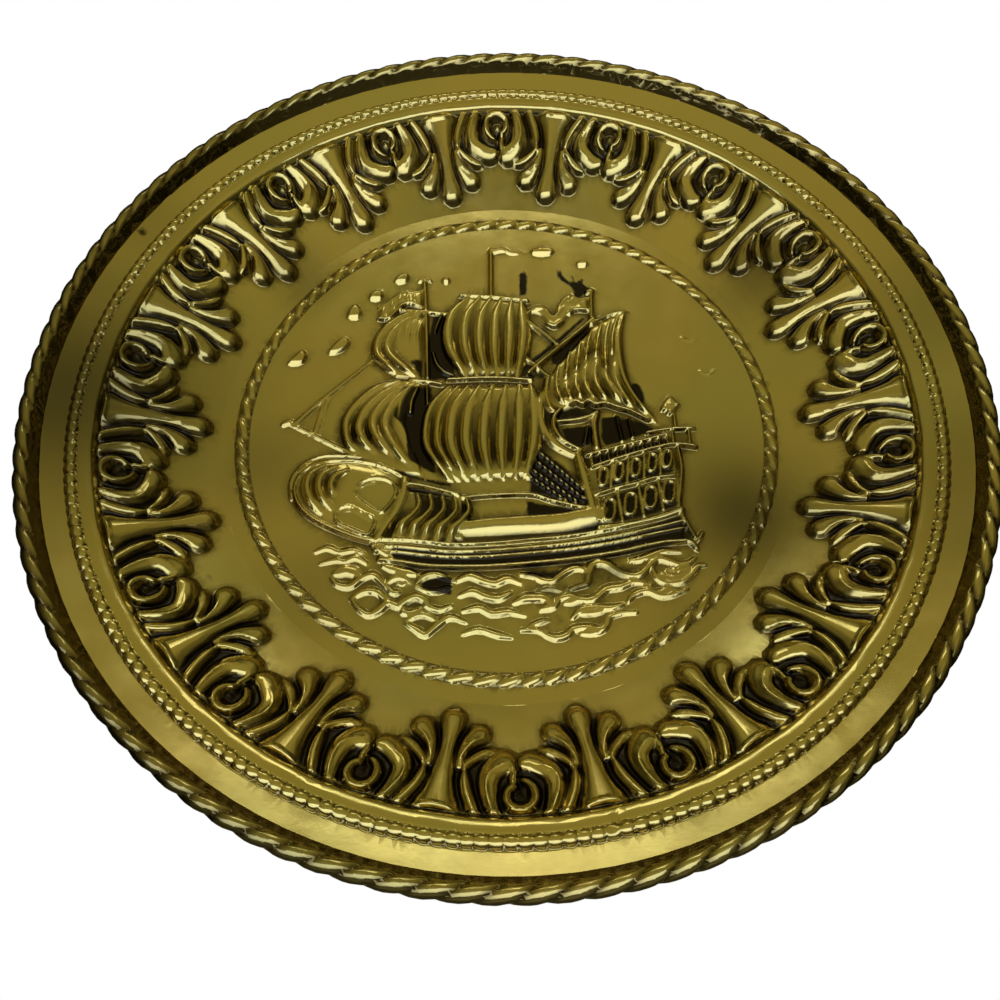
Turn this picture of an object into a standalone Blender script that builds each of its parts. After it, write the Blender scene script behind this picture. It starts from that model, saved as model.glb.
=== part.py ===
"""A round pressed-brass wall plaque: a galleon, a leaf-and-scroll border and roped edges.

The plaque stands upright as it hangs. Its front faces -Y and the ship's masts point to +Z.
The origin is the centre of the flat back, where the plaque meets the wall.
Sizes are in millimetres until the mesh is made. In the plan of the plaque x runs to the right
and z up, and a height is measured from the wall towards the front.
"""
import math

import bmesh
import bpy
import numpy as np
from mathutils import Vector
from mathutils.geometry import delaunay_2d_cdt

MM = 0.001
WELD_DISTANCE = 0.00001
SMALLEST_EDGE = 0.00003
POINT_GRID = 0.2
SNAP_DISTANCE = 0.02
SHARP_ANGLE = 25.0

# The sheet and its turned profile: radii from the centre, heights above the wall.
SHEET = 0.7
FLOOR_RADIUS = 93.0
WALL_BEND_RADIUS = 99.0
WALL_BEND_HEIGHT = 2.2
WALL_TOP_RADIUS = 129.7
WALL_TOP_HEIGHT = 16.7
SHOULDER_FOOT_RADIUS = 130.6
SHOULDER_FOOT_HEIGHT = 18.3
SHOULDER_RADIUS = 132.4
SHOULDER_HEIGHT = 19.1
BEAD_INNER_RADIUS = 134.7
BEAD_INNER_HEIGHT = 19.6
BEAD_OUTER_RADIUS = 139.6
BEAD_OUTER_HEIGHT = 20.4

# The rolled rope that finishes the rim.
RIM_RADIUS = 149.6
RIM_HEIGHT = 24.2
RIM_TUBE = 3.1
RIM_STRANDS = 104
RIM_GROOVE = 0.75
RIM_TWIST = 0.9
RIM_FOOT_ANGLE = 210.0
RIM_ROWS = (20.0, 110.0)
RIM_SIDE_ANGLE = -40.0
RIM_BACK_ANGLE = -85.0

# The row of beads and the low rope round the ship.
BEADS = 228
BEAD_RADIUS = 137.1
BEAD_LIFT = 1.2
INNER_ROPE_RADIUS = 88.8
INNER_ROPE_WIDTH = 4.6
INNER_ROPE_STRANDS = 76
INNER_ROPE_LIFT = 1.9
INNER_ROPE_NOTCH = 0.7
INNER_ROPE_SLANT = 0.75

# The border repeats a palmette and a scroll.
REPEATS = 18
PALMETTE_TURN = 1.0
SCROLL_TURN = 10.0
SCROLL_RADIUS = 124.4
SCROLL_RING = 4.3
SCROLL_HALF_WIDTH = 1.9
SCROLL_OPENING = 38.0
SCROLL_STEPS = 6
LEAF_LIFT = 2.4

# The ship and the sea.
SAIL_LIFT = 1.4
FOLD_LIFT = 2.8
HULL_LIFT = 1.5
STRAKE_LIFT = 2.6
STRAKES = 5
LINE_LIFT = 0.9
EDGE_RUN = 0.7
WAVE_STEP = 6.0
WAVE_SWING = 1.1

RING_STEPS = 90
BACK_STEPS = 54

BRASS = (0.62, 0.47, 0.13, 1.0)
BRASS_ROUGHNESS = 0.27

PROFILE = (
    (0.0, SHEET),
    (FLOOR_RADIUS, SHEET),
    (WALL_BEND_RADIUS, WALL_BEND_HEIGHT),
    (WALL_TOP_RADIUS, WALL_TOP_HEIGHT),
    (SHOULDER_FOOT_RADIUS, SHOULDER_FOOT_HEIGHT),
    (SHOULDER_RADIUS, SHOULDER_HEIGHT),
    (BEAD_INNER_RADIUS, BEAD_INNER_HEIGHT),
    (BEAD_OUTER_RADIUS, BEAD_OUTER_HEIGHT),
    (
        RIM_RADIUS + RIM_TUBE * math.cos(math.radians(RIM_FOOT_ANGLE)),
        RIM_HEIGHT + RIM_TUBE * math.sin(math.radians(RIM_FOOT_ANGLE)),
    ),
)

# The bends of the profile that the back keeps.
BACK_BENDS = (0, 1, 2, 3, 5, 7, 8)


def clear_scene():
    """Remove whatever the scene holds."""
    for item in list(bpy.data.objects):
        bpy.data.objects.remove(item, do_unlink=True)


def polar(radius, degrees):
    """Plan position at a radius and an angle counted from +X towards +Z."""
    turn = math.radians(degrees)
    return (radius * math.cos(turn), radius * math.sin(turn))


def ring(radius, steps, start=0.0):
    """Plan positions evenly round a circle, starting at an angle in degrees."""
    return [polar(radius, start + 360.0 * step / steps) for step in range(steps)]


def blend(low, high, share):
    """The point a share of the way from one point to another."""
    return tuple(a + (b - a) * share for a, b in zip(low, high))


def smooth_curve(points, count):
    """A count of points along the smooth curve that passes through the given ones."""
    known = [np.array(point, dtype=float) for point in points]
    known = [2 * known[0] - known[1]] + known + [2 * known[-1] - known[-2]]
    spans = len(points) - 1
    curve = []
    for step in range(count):
        place = spans * step / (count - 1)
        span = min(int(place), spans - 1)
        t = place - span
        before, start, end, after = known[span:span + 4]
        bend = 2 * before - 5 * start + 4 * end - after
        turn = 3 * start - before - 3 * end + after
        curve.append(tuple(0.5 * (2 * start + (end - before) * t + bend * t**2 + turn * t**3)))
    return curve


def between(first, second, share, count):
    """The curve a share of the way from one curve to another."""
    pairs = zip(smooth_curve(first, count), smooth_curve(second, count))
    return [blend(a, b, share) for a, b in pairs]


def from_chain(positions, chain):
    """Distance of each position from a chain of points, and how far along it the nearest place is."""
    nearest = np.full(len(positions), np.inf)
    along = np.zeros(len(positions))
    for index, (start, end) in enumerate(zip(chain, chain[1:])):
        start = np.array(start)
        run = np.array(end) - start
        share = np.clip((positions - start) @ run / (run @ run), 0.0, 1.0)
        gap = np.hypot(*(positions - start - share[:, None] * run).T)
        closer = gap < nearest
        nearest = np.where(closer, gap, nearest)
        along = np.where(closer, index + share, along)
    return nearest, along


def inside(positions, outline):
    """Which positions lie inside a closed outline."""
    x, z = positions.T
    odd = np.zeros(len(positions), dtype=bool)
    for (ax, az), (bx, bz) in zip(outline, outline[1:] + outline[:1]):
        if az == bz:
            continue
        crosses = (az > z) != (bz > z)
        odd ^= crosses & (x < ax + (bx - ax) * (z - az) / (bz - az))
    return odd


def sideways(chain, offsets):
    """The chain moved to its left by an offset at each point."""
    moved = []
    for index, (point, offset) in enumerate(zip(chain, offsets)):
        before = chain[max(index - 1, 0)]
        after = chain[min(index + 1, len(chain) - 1)]
        run = Vector(after) - Vector(before)
        side = Vector((-run.y, run.x)).normalized()
        moved.append(tuple(Vector(point) + side * offset))
    return moved


class Relief:
    """Gathers the points, creases and raised forms of the front, in plan."""

    def __init__(self):
        self.points = []
        self.lifts = []
        self.creases = []
        self.forms = []

    def chain(self, points, lifts=0.0, closed=False):
        """Add a crease through the points, with the lift of each above the turned profile."""
        first = len(self.points)
        self.points.extend(points)
        self.lifts.extend([lifts] * len(points) if isinstance(lifts, float) else lifts)
        last = len(self.points) - 1
        self.creases.extend((index, index + 1) for index in range(first, last))
        if closed:
            self.creases.append((last, first))

    def ridge(self, points, widths, lift, count=3, feet=True, square=False):
        """A raised rib along a smooth curve, pointed at its start unless square and round at its end.

        The half widths are spread evenly from the start to the end.
        """
        crest = smooth_curve(points, count)
        places = np.linspace(0.0, len(widths) - 1.0, count)
        halves = np.interp(places, range(len(widths)), widths)
        self.chain(crest, lift)
        self.forms.append(("ridge", crest, halves, lift))
        if feet:
            kept = 0 if square else 1
            left = sideways(crest, halves)[kept:]
            right = sideways(crest, -halves)[kept:]
            start = Vector(crest[0]) + (Vector(crest[0]) - Vector(crest[1])).normalized() * halves[0]
            end = Vector(crest[-1]) + (Vector(crest[-1]) - Vector(crest[-2])).normalized() * halves[-1]
            point = [] if square else [tuple(start)]
            self.chain(point + left + [tuple(end)] + right[::-1], closed=True)

    def plateau(self, outline, lift):
        """A flat raised form with steep edges, its outline given anticlockwise."""
        loop = [outline[-1]] + outline + [outline[0]]
        foot = sideways(loop, [-EDGE_RUN] * len(loop))[1:-1]
        self.chain(outline, lift, closed=True)
        self.chain(foot, closed=True)
        self.forms.append(("plateau", outline, EDGE_RUN, lift))

    def pleats(self, first, second, folds, lifts, count=4):
        """Folds side by side between two curves; the lifts are the ground's and the folds'."""
        ground, crest = lifts
        gaps = [math.dist(a, b) for a, b in zip(smooth_curve(first, count), smooth_curve(second, count))]
        half = 0.5 * sum(gaps) / len(gaps) / folds
        for fold in range(folds):
            rib = between(first, second, (fold + 0.5) / folds, count)
            self.ridge(rib, (half, half), crest, count=count, feet=False)
        for valley in range(folds + 1):
            edge = between(first, second, valley / folds, count)
            self.chain(edge, ground)
        hem = smooth_curve(first, count) + smooth_curve(second, count)[::-1]
        self.forms.append(("plateau", hem, EDGE_RUN, ground))
        loop = [hem[-1]] + hem + [hem[0]]
        area = sum(a[0] * b[1] - b[0] * a[1] for a, b in zip(hem, hem[1:] + hem[:1]))
        outwards = -EDGE_RUN if area > 0 else EDGE_RUN
        self.chain(sideways(loop, [outwards] * len(loop))[1:-1], closed=True)

    def lift(self, positions):
        """Height of the raised forms above the turned profile at each position."""
        highest = np.zeros(len(positions))
        for kind, chain, reach, lift in self.forms:
            if kind == "ridge":
                gap, along = from_chain(positions, chain)
                half = np.interp(along, range(len(chain)), reach)
                rise = lift * np.clip(1.0 - gap / half, 0.0, 1.0)
            else:
                gap, along = from_chain(positions, chain + [chain[0]])
                rise = lift * np.clip(1.0 - gap / reach, 0.0, 1.0)
                rise[inside(positions, chain)] = lift
            highest = np.maximum(highest, rise)
        return highest


def add_beads(relief):
    """The row of small beads, each a low point between two notches."""
    relief.chain(ring(BEAD_OUTER_RADIUS, BEADS), closed=True)
    relief.chain(ring(BEAD_INNER_RADIUS, BEADS), closed=True)
    for bead in range(BEADS):
        notch = 360.0 * bead / BEADS
        relief.chain([polar(BEAD_OUTER_RADIUS, notch), polar(BEAD_INNER_RADIUS, notch)])
        relief.chain([polar(BEAD_RADIUS, notch + 180.0 / BEADS)], BEAD_LIFT)


def add_inner_rope(relief):
    """The low rope round the ship: slanting strands with a groove between each two."""
    pitch = 360.0 / INNER_ROPE_STRANDS
    slant = INNER_ROPE_SLANT * pitch
    outer = INNER_ROPE_RADIUS + INNER_ROPE_WIDTH / 2
    inner = INNER_ROPE_RADIUS - INNER_ROPE_WIDTH / 2
    relief.chain(ring(outer, INNER_ROPE_STRANDS, -slant / 2), closed=True)
    relief.chain(ring(inner, INNER_ROPE_STRANDS, slant / 2), closed=True)
    for strand in range(INNER_ROPE_STRANDS):
        turn = pitch * strand
        head = polar(outer, turn - slant / 2)
        tail = polar(inner, turn + slant / 2)
        groove = [head, polar(INNER_ROPE_RADIUS, turn), tail]
        relief.chain(groove, [0.0, INNER_ROPE_NOTCH, 0.0])
        relief.chain([polar(INNER_ROPE_RADIUS, turn + pitch / 2)], INNER_ROPE_LIFT)


def add_palmette(relief, turn):
    """A leaf of five lobes that hangs inwards from the shoulder."""
    def at(radius, side):
        return polar(radius, turn + side)

    trunk = [at(129.2, 0), at(118.0, 0), at(111.0, 0), at(103.2, 0)]
    relief.ridge(trunk, (4.6, 2.1, 2.1, 3.6), LEAF_LIFT, 4, square=True)
    for side in (-1, 1):
        lobe = [at(117.2, 1.9 * side), at(111.5, 2.7 * side), at(106.3, 4.7 * side)]
        relief.ridge(lobe, (1.2, 1.7, 2.5), LEAF_LIFT, 3)
        upper = [at(117.0, 3.4 * side), at(111.8, 5.9 * side)]
        relief.ridge(upper, (1.0, 1.3), LEAF_LIFT * 0.8, 2)


def add_scroll(relief, turn):
    """An open curl with a leaf and a narrow strap on each side of it."""
    def at(radius, side):
        return polar(radius, turn + side)

    centre = np.array(at(SCROLL_RADIUS, 0))
    curl = []
    for step in range(SCROLL_STEPS):
        swing = 180.0 + SCROLL_OPENING + (360.0 - 2 * SCROLL_OPENING) * step / (SCROLL_STEPS - 1)
        curl.append(tuple(centre + np.array(polar(SCROLL_RING, turn + swing))))
    relief.ridge(curl, (SCROLL_HALF_WIDTH, SCROLL_HALF_WIDTH), LEAF_LIFT, SCROLL_STEPS)
    for side in (-1, 1):
        leaf = [at(127.8, 4.9 * side), at(119.0, 4.3 * side), at(114.6, 2.0 * side)]
        relief.ridge(leaf, (1.0, 1.9, 3.1), LEAF_LIFT, 3)
        strap = [at(128.0, 6.9 * side), at(119.5, 6.2 * side)]
        relief.ridge(strap, (1.1, 1.0), LEAF_LIFT * 0.8, 2)


def add_border(relief):
    """The palmettes and scrolls, in turn, all the way round."""
    for repeat in range(REPEATS):
        turn = PALMETTE_TURN + 360.0 * repeat / REPEATS
        add_palmette(relief, turn)
        add_scroll(relief, turn + SCROLL_TURN)


def add_sails(relief):
    """Square sails that belly to the left, the lateen sail at the stern and the furled sail at the bow."""
    lifts = (SAIL_LIFT, FOLD_LIFT)
    fore_top_belly = [(-30, 48), (-42, 44), (-47, 33), (-41, 24), (-31, 19.5)]
    relief.pleats(fore_top_belly, [(-29.5, 48), (-30, 34), (-30.5, 20)], 3, lifts)
    fore_belly = [(-28, 17.5), (-44, 14), (-55, 0), (-48, -13), (-34, -20)]
    relief.pleats(fore_belly, [(-27, 17), (-34.5, 2), (-27, -20)], 4, lifts, count=5)
    main_top_belly = [(-13, 54), (-22, 42), (-20, 28), (-14, 20)]
    relief.pleats(main_top_belly, [(7, 52), (8, 36), (5, 20)], 5, lifts)
    main_belly = [(-20, 16.5), (-28.5, 2), (-27, -8), (-18, -21)]
    relief.pleats(main_belly, [(10, 16), (11.5, 2), (7, -20)], 6, lifts)
    luff = [(13, 16), (12, 10), (14, 4)]
    middle = [(29, 37), (25.5, 24), (27, 9.5)]
    leech = [(43, 46), (41, 24), (51, 0)]
    relief.pleats(luff, middle, 3, lifts, count=3)
    relief.pleats(middle, leech, 3, lifts, count=3)
    bow_rim = [(-34, -19.5), (-52, -12), (-67, -15), (-68.5, -27), (-58, -37), (-43, -42.5)]
    relief.ridge(bow_rim, (1.6, 2.2, 1.6), FOLD_LIFT, 8)
    for share in (0.25, 0.5):
        fold = between([(-52, -14), (-67, -21), (-60, -35)], [(-44, -17), (-49, -21), (-50, -29)], share, 4)
        relief.ridge(fold, (1.2, 2.0, 1.2), SAIL_LIFT, 4)
    relief.plateau([(-42, -42), (-33, -23), (-41, -20.5), (-48, -22.5), (-54, -32)], LINE_LIFT)


def add_hull(relief):
    """Planked hull, the raised stern castle with its two rows of windows, and the beak at the bow."""
    sheer = [(-43, -43.5), (-16, -43), (12, -40), (34, -37.5), (56.5, -32.5)]
    keel = [(-36, -51), (-16, -52.5), (12, -52), (34, -50), (54.5, -46)]
    relief.pleats(sheer, keel, STRAKES, (HULL_LIFT, STRAKE_LIFT), count=6)
    wale = [(-16, -41.5), (12, -38.8), (29, -36.6), (28.5, -31), (12, -32.5), (-16, -37)]
    relief.plateau(wale, STRAKE_LIFT)
    for ruffle in range(4):
        x = -35 + 4.6 * ruffle
        relief.ridge([(x + 7, -27), (x + 4, -34), (x, -41)], (1.3, 2.0, 2.2), FOLD_LIFT, 3)
    relief.plateau([(30, -37.6), (56.5, -31.5), (55, -9.5), (27.5, -15.5)], HULL_LIFT)
    for windows, low, high in ((4, 0.05, 0.45), (5, 0.52, 0.88)):
        for window in range(windows):
            share = (window + 0.5) / windows
            base = blend((30.5, -37), (56, -31), share)
            crown = blend((28, -16), (54.5, -10), share)
            sill = blend(base, crown, low + 0.06)
            head = blend(base, crown, high - 0.04)
            relief.ridge([sill, head], (1.7, 1.7), STRAKE_LIFT, 2)
    relief.ridge([(27, -13.5), (44, -8.5), (62, -3)], (1.8, 1.8), STRAKE_LIFT, 3)
    relief.ridge([(60.5, -5), (57.5, -16), (57.5, -31), (60, -44)], (1.0, 1.2, 1.2, 1.0), HULL_LIFT, 4)
    relief.ridge([(27, -11), (17, -6), (16, 2), (22, 7), (30, 6)], (1.2, 1.2), FOLD_LIFT, 5)


def add_rigging(relief):
    """Masts, yards, stays, pennants and the stern lantern."""
    lines = (
        ((-29.2, 62), (-28.8, 49)),
        ((-5, 76), (-5, 55)),
        ((31.3, 57), (31.3, 41)),
        ((-75, 1), (-47, 26)),
        ((-75, 1), (-52, -11)),
        ((-62, 11), (-65, -3)),
        ((8, 44), (21, 32)),
        ((30, 43.5), (8, 20)),
        ((-33, 18.2), (13, 17.6)),
        ((57.5, 6), (57.5, -3)),
        ((9, -8), (27, -27)),
        ((8, -17), (24, -30)),
    )
    for start, end in lines:
        relief.ridge([start, end], (0.9, 0.9), LINE_LIFT, 2)
    relief.ridge([(-30, 55), (-37, 52), (-41, 49), (-46, 46)], (2.4, 2.2, 1.2), SAIL_LIFT, 4)
    relief.ridge([(9, 47), (13, 49), (17.5, 42), (23, 48.5), (30, 49)], (1.4, 1.6, 2.2), SAIL_LIFT, 5)
    relief.ridge([(57.5, 8), (57.5, 6)], (2.6, 2.2), SAIL_LIFT, 2)


def add_sky(relief):
    """Small drop-shaped clouds."""
    for x, z, length, turn in (
        (-73, 27.5, 5.5, 25),
        (-58.5, 33, 6.5, 30),
        (-53.5, 46.5, 4.5, 40),
        (-46.5, 54.5, 4.5, 40),
        (-37.5, 63, 5, 25),
        (14, 75, 8, 5),
        (29, 69.5, 4, 0),
    ):
        lean = np.array(polar(length / 4, turn))
        relief.ridge([tuple((x, z) - lean), tuple((x, z) + lean)], (1.9, 1.5), LINE_LIFT, 2)


def add_sea(relief):
    """Crested waves: long wavy ridges to the right of the bow and short curls below it."""
    waves = (
        (8, 60, -52.5, -50),
        (8, 55, -60, -58),
        (8, 42, -66.5, -65),
        (-14, 24, -74, -73),
        (-50, 8, -57, -57),
        (-45, 8, -64, -65),
        (-26, -8, -71.5, -72),
        (-61, -44, -47.5, -47),
    )
    for left, right, start, end in waves:
        steps = max(4, round((right - left) / WAVE_STEP))
        crest = []
        for step in range(steps):
            x, z = blend((left, start), (right, end), step / (steps - 1))
            crest.append((x, z + (WAVE_SWING if step % 2 else -WAVE_SWING)))
        relief.ridge(crest, (1.0, 1.9, 1.9, 1.0), SAIL_LIFT, steps)


def profile_height(radii):
    """Height of the plain turned front above the wall."""
    radius, height = zip(*PROFILE)
    return np.interp(radii, radius, height)


def rim_row(angle, steps, grooved):
    """One row of points along the rope of the rim, at an angle round its tube."""
    row = []
    swing = math.radians(angle)
    twist = RIM_TWIST * angle / 180.0 * 360.0 / RIM_STRANDS if grooved else 0.0
    for step in range(steps):
        tube = RIM_TUBE - (RIM_GROOVE if grooved and step % 2 else 0.0)
        x, z = polar(RIM_RADIUS + tube * math.cos(swing), 360.0 * step / steps + twist)
        row.append((x, z, RIM_HEIGHT + tube * math.sin(swing)))
    return row


def back_rows():
    """Rows of the plain back, from the rim in: the front's main bends, a sheet's thickness behind."""
    bends = [Vector(PROFILE[index]) for index in BACK_BENDS]
    rows = []
    for before, here, after in zip(bends, bends[1:], bends[2:] + [bends[-1] * 2 - bends[-2]]):
        arriving = (here - before).normalized()
        leaving = (after - here).normalized()
        square = Vector((-arriving.y, arriving.x))
        mitre = (square + Vector((-leaving.y, leaving.x))).normalized()
        radius, height = here - mitre * (SHEET / mitre.dot(square))
        rows.append([(x, z, height) for x, z in ring(radius, BACK_STEPS)])
    return rows[::-1]


def snapped(point):
    """A point of the modelled relief moved to a fine grid, so that crossing creases leave no slivers."""
    if math.hypot(*point) > WALL_TOP_RADIUS - 0.5:
        return point
    return tuple(round(value / POINT_GRID) * POINT_GRID for value in point)


def front_surface():
    """The modelled front inside the rim: its points with heights, and its triangles."""
    relief = Relief()
    foot = rim_row(RIM_FOOT_ANGLE, RIM_STRANDS, False)
    relief.chain([(x, z) for x, z, height in foot], closed=True)
    add_beads(relief)
    for radius in (SHOULDER_RADIUS, SHOULDER_FOOT_RADIUS, WALL_TOP_RADIUS):
        relief.chain(ring(radius, RING_STEPS), closed=True)
    relief.chain(ring(WALL_BEND_RADIUS, REPEATS, PALMETTE_TURN + SCROLL_TURN))
    relief.chain(ring(FLOOR_RADIUS, INNER_ROPE_STRANDS // 2), closed=True)
    add_border(relief)
    add_inner_rope(relief)
    add_sails(relief)
    add_hull(relief)
    add_rigging(relief)
    add_sky(relief)
    add_sea(relief)
    plan = [Vector(snapped(point)) for point in relief.points]
    surface = delaunay_2d_cdt(plan, relief.creases, [], 0, SNAP_DISTANCE)
    verts, faces, origin = surface[0], surface[2], surface[3]
    positions = np.array([tuple(vert) for vert in verts])
    radii = np.hypot(*positions.T)
    lifts = relief.lift(positions)
    for index, sources in enumerate(origin):
        own = [relief.lifts[source] for source in sources]
        lifts[index] = max([lifts[index]] + own)
    heights = profile_height(radii) + lifts
    points = [(x, z, height) for (x, z), height in zip(positions.tolist(), heights.tolist())]
    return points, faces


def stitch(mesh, first, second):
    """Join two closed rows of vertices with triangles, stepping along the row that lags behind."""
    def turn(vert, start):
        return (math.atan2(vert.co.z, vert.co.x) - start) % math.tau

    start = math.atan2(first[0].co.z, first[0].co.x)
    offset = min(range(len(second)), key=lambda index: turn(second[index], start))
    second = second[offset:] + second[:offset]
    i = 0
    j = 0
    while i < len(first) or j < len(second):
        a = first[i % len(first)]
        b = second[j % len(second)]
        ahead_first = (i + 1) / len(first)
        ahead_second = (j + 1) / len(second)
        if ahead_first <= ahead_second:
            mesh.faces.new((a, first[(i + 1) % len(first)], b))
            i += 1
        else:
            mesh.faces.new((a, second[(j + 1) % len(second)], b))
            j += 1


def build_plate():
    """The whole plaque as one closed sheet, with its relief in front and a plain back."""
    mesh = bmesh.new()

    def add_row(row):
        return [mesh.verts.new((x * MM, -height * MM, z * MM)) for x, z, height in row]

    points, triangles = front_surface()
    front = add_row(points)
    for triangle in triangles:
        mesh.faces.new([front[index] for index in triangle])
    rim = [add_row(rim_row(RIM_FOOT_ANGLE, RIM_STRANDS, False))]
    rim += [add_row(rim_row(angle, 2 * RIM_STRANDS, True)) for angle in reversed(RIM_ROWS)]
    rim.append(add_row(rim_row(RIM_SIDE_ANGLE, RIM_STRANDS, False)))
    rim.append(add_row(rim_row(RIM_BACK_ANGLE, BACK_STEPS, False)))
    rim += [add_row(row) for row in back_rows()]
    for first, second in zip(rim, rim[1:]):
        stitch(mesh, first, second)
    mesh.faces.new(rim[-1])
    bmesh.ops.remove_doubles(mesh, verts=mesh.verts, dist=WELD_DISTANCE)
    bmesh.ops.dissolve_degenerate(mesh, edges=mesh.edges, dist=SMALLEST_EDGE)
    bmesh.ops.triangulate(mesh, faces=mesh.faces)
    bmesh.ops.recalc_face_normals(mesh, faces=mesh.faces)
    data = bpy.data.meshes.new("plate")
    mesh.to_mesh(data)
    mesh.free()
    data.shade_smooth()
    data.set_sharp_from_angle(angle=math.radians(SHARP_ANGLE))
    plate = bpy.data.objects.new("plate", data)
    bpy.context.collection.objects.link(plate)
    return plate


def brass():
    """Antique brass, polished on the high places."""
    material = bpy.data.materials.new("antique_brass")
    material.use_nodes = True
    shader = material.node_tree.nodes["Principled BSDF"]
    shader.inputs["Base Color"].default_value = BRASS
    shader.inputs["Metallic"].default_value = 1.0
    shader.inputs["Roughness"].default_value = BRASS_ROUGHNESS
    return material


clear_scene()
build_plate().data.materials.append(brass())
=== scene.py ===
import math

import bpy
import numpy as np
from mathutils import Matrix, Vector


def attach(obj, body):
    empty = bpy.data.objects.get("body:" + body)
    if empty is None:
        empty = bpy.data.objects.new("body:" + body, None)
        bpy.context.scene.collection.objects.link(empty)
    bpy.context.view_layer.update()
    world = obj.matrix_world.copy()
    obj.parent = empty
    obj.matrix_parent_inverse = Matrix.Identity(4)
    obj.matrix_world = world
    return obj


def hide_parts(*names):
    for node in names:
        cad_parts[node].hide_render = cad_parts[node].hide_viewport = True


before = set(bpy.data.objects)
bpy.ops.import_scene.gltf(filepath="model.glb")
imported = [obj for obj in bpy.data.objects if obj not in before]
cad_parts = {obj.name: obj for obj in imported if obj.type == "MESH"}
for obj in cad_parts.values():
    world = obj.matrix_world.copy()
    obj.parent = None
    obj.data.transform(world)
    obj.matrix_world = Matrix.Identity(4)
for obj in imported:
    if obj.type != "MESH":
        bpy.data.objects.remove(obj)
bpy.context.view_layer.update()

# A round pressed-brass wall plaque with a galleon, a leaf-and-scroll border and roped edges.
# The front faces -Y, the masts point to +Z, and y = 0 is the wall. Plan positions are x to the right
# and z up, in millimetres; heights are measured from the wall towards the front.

MM = 0.001
SEED = 7

# The sheet and its turned profile: radius from the centre, height above the wall.
SHEET = 0.7
PROFILE = (
    (0.0, 0.7),
    (96.19, 0.7),
    (128.9, 16.1),
    (129.9, 16.1),
    (131.0, 18.3),
    (131.4, 18.75),
    (132.1, 19.15),
    (133.0, 19.52),
    (134.4, 19.9),
    (139.5, 19.8),
    (146.9, 22.8),
)
PROFILE_STEP = 0.05
# how far the profile's corners are rounded, inside and outside the radii of BEND_CHANGE
INNER_BEND = 0.05
OUTER_BEND = 0.22
BEND_CHANGE = (122.0, 127.0)
# radii at which the turned front has a sharp crease
CREASES = (96.19, 139.5)
# the shoulder's uneven part, and the distance over which its unevenness dies away
SHOULDER = (129.0, 134.0)
SHOULDER_FADE = 1.5

# The rolled rope of the rim.
RIM_RADIUS = 149.6
RIM_HEIGHT = 24.2
RIM_TUBE = 3.1
RIM_STRANDS = 104
# the roll's radius at angles round it, where its inner side runs straight down to the sheet
RIM_REACH = (
    (90, 3.1),
    (112, 2.88),
    (135, 2.65),
    (150, 2.55),
    (165, 2.63),
    (180, 2.93),
    (192, 3.40),
    (205, 4.39),
)
RIM_GROOVE = 0.65
RIM_PITCHES = 1.0
RIM_FOOT = 205.0
RIM_END = -85.0
RIM_ROWS = 26

# The row of beads.
BEADS = 228
BEAD_RADIUS = 137.1
BEAD_HALF = 2.1
BEAD_NECK = 1.35
BEAD_LIFT = 1.55

# The low rope round the ship.
ROPE_RADIUS = 88.8
ROPE_STRANDS = 76
ROPE_TILT = 20.0
ROPE_HALVES = (4.7, 1.9)
ROPE_LIFT = 1.25
ROPE_REACH = 3.2
ROPE_BED_HALF = 2.1
ROPE_BED_LIFT = 0.35

# The border.
REPEATS = 18
PALMETTE_TURN = 1.0
HALF_REPEAT = 10.0
LEAF = 2.5

# The mesh. Lengths of edges are in millimetres; the rings of FOOT_RINGS get more points.
DISC_RADIUS = 86.0
DISC_CELLS = 560
FRONT_ROWS = 165
BACK_STEP = 2
BACK_ROWS = 60
THINNED_TRIANGLES = 128000
SPLITS = 4
OPEN_EDGE = 5.5
FOOT_EDGE = 1.6
FOOT_RINGS = ((85.8, 87.3), (90.5, 92.2), (134.6, 135.4), (138.7, 139.7), (146.8, 147.8))
SHADE_EDGE = 0.9
SHADE_STEP = 0.25
BACK_EDGE = 14.0
# the corners at which the shading is taken lie inside large triangles, and beside the creases
NORMAL_STEP = 0.12
SHIFTED_FROM = 0.8
SHIFT_GROWTH = 0.13
SHIFT_MOST = 0.42
CREASE_REACH = 0.3
CREASE_SHIFT = 0.35
# radii of the shoulder, which is left out of the painted shade on steep slopes
UNSHADED_SHOULDER = (129.6, 134.5)

# The relief: where its two maps meet, how far it is smoothed, and how much smaller its hollows are behind.
SHIP_REACH = 92.0
SHIP_STEP = 0.125
BORDER_REACH = (93.0, 130.4)
BORDER_STEP = 0.08
SHIP_LIFT = 0.85
SOFTEN = 0.28
NEAR_REACH = 1.6
GAP_REACH = 2.0
GAP_SOFTEN = 0.2
PATINA_SOFTEN = 0.35
BACK_SHRINK = 0.9
BACK_SOFTEN = 0.5


# ------------------------------------------------------------------ curves and height maps

def smooth_curve(points, steps=6):
    """Points along the smooth curve that passes through the given ones."""
    known = np.array(points, dtype=float)
    if len(known) == 2:
        return known
    known = np.vstack([2 * known[0] - known[1], known, 2 * known[-1] - known[-2]])
    places = np.linspace(0.0, len(points) - 1.0, steps * (len(points) - 1) + 1)
    spans = np.minimum(places.astype(int), len(points) - 2)
    t = (places - spans)[:, None]
    before, start, end, after = (known[spans + shift] for shift in range(4))
    bend = 2 * before - 5 * start + 4 * end - after
    turn = 3 * start - before - 3 * end + after
    return 0.5 * (2 * start + (end - before) * t + bend * t**2 + turn * t**3)


def polar(radius, degrees):
    """Plan position at a radius and an angle counted from +X towards +Z."""
    turn = np.radians(degrees)
    return np.stack([radius * np.cos(turn), radius * np.sin(turn)], axis=-1)


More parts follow.
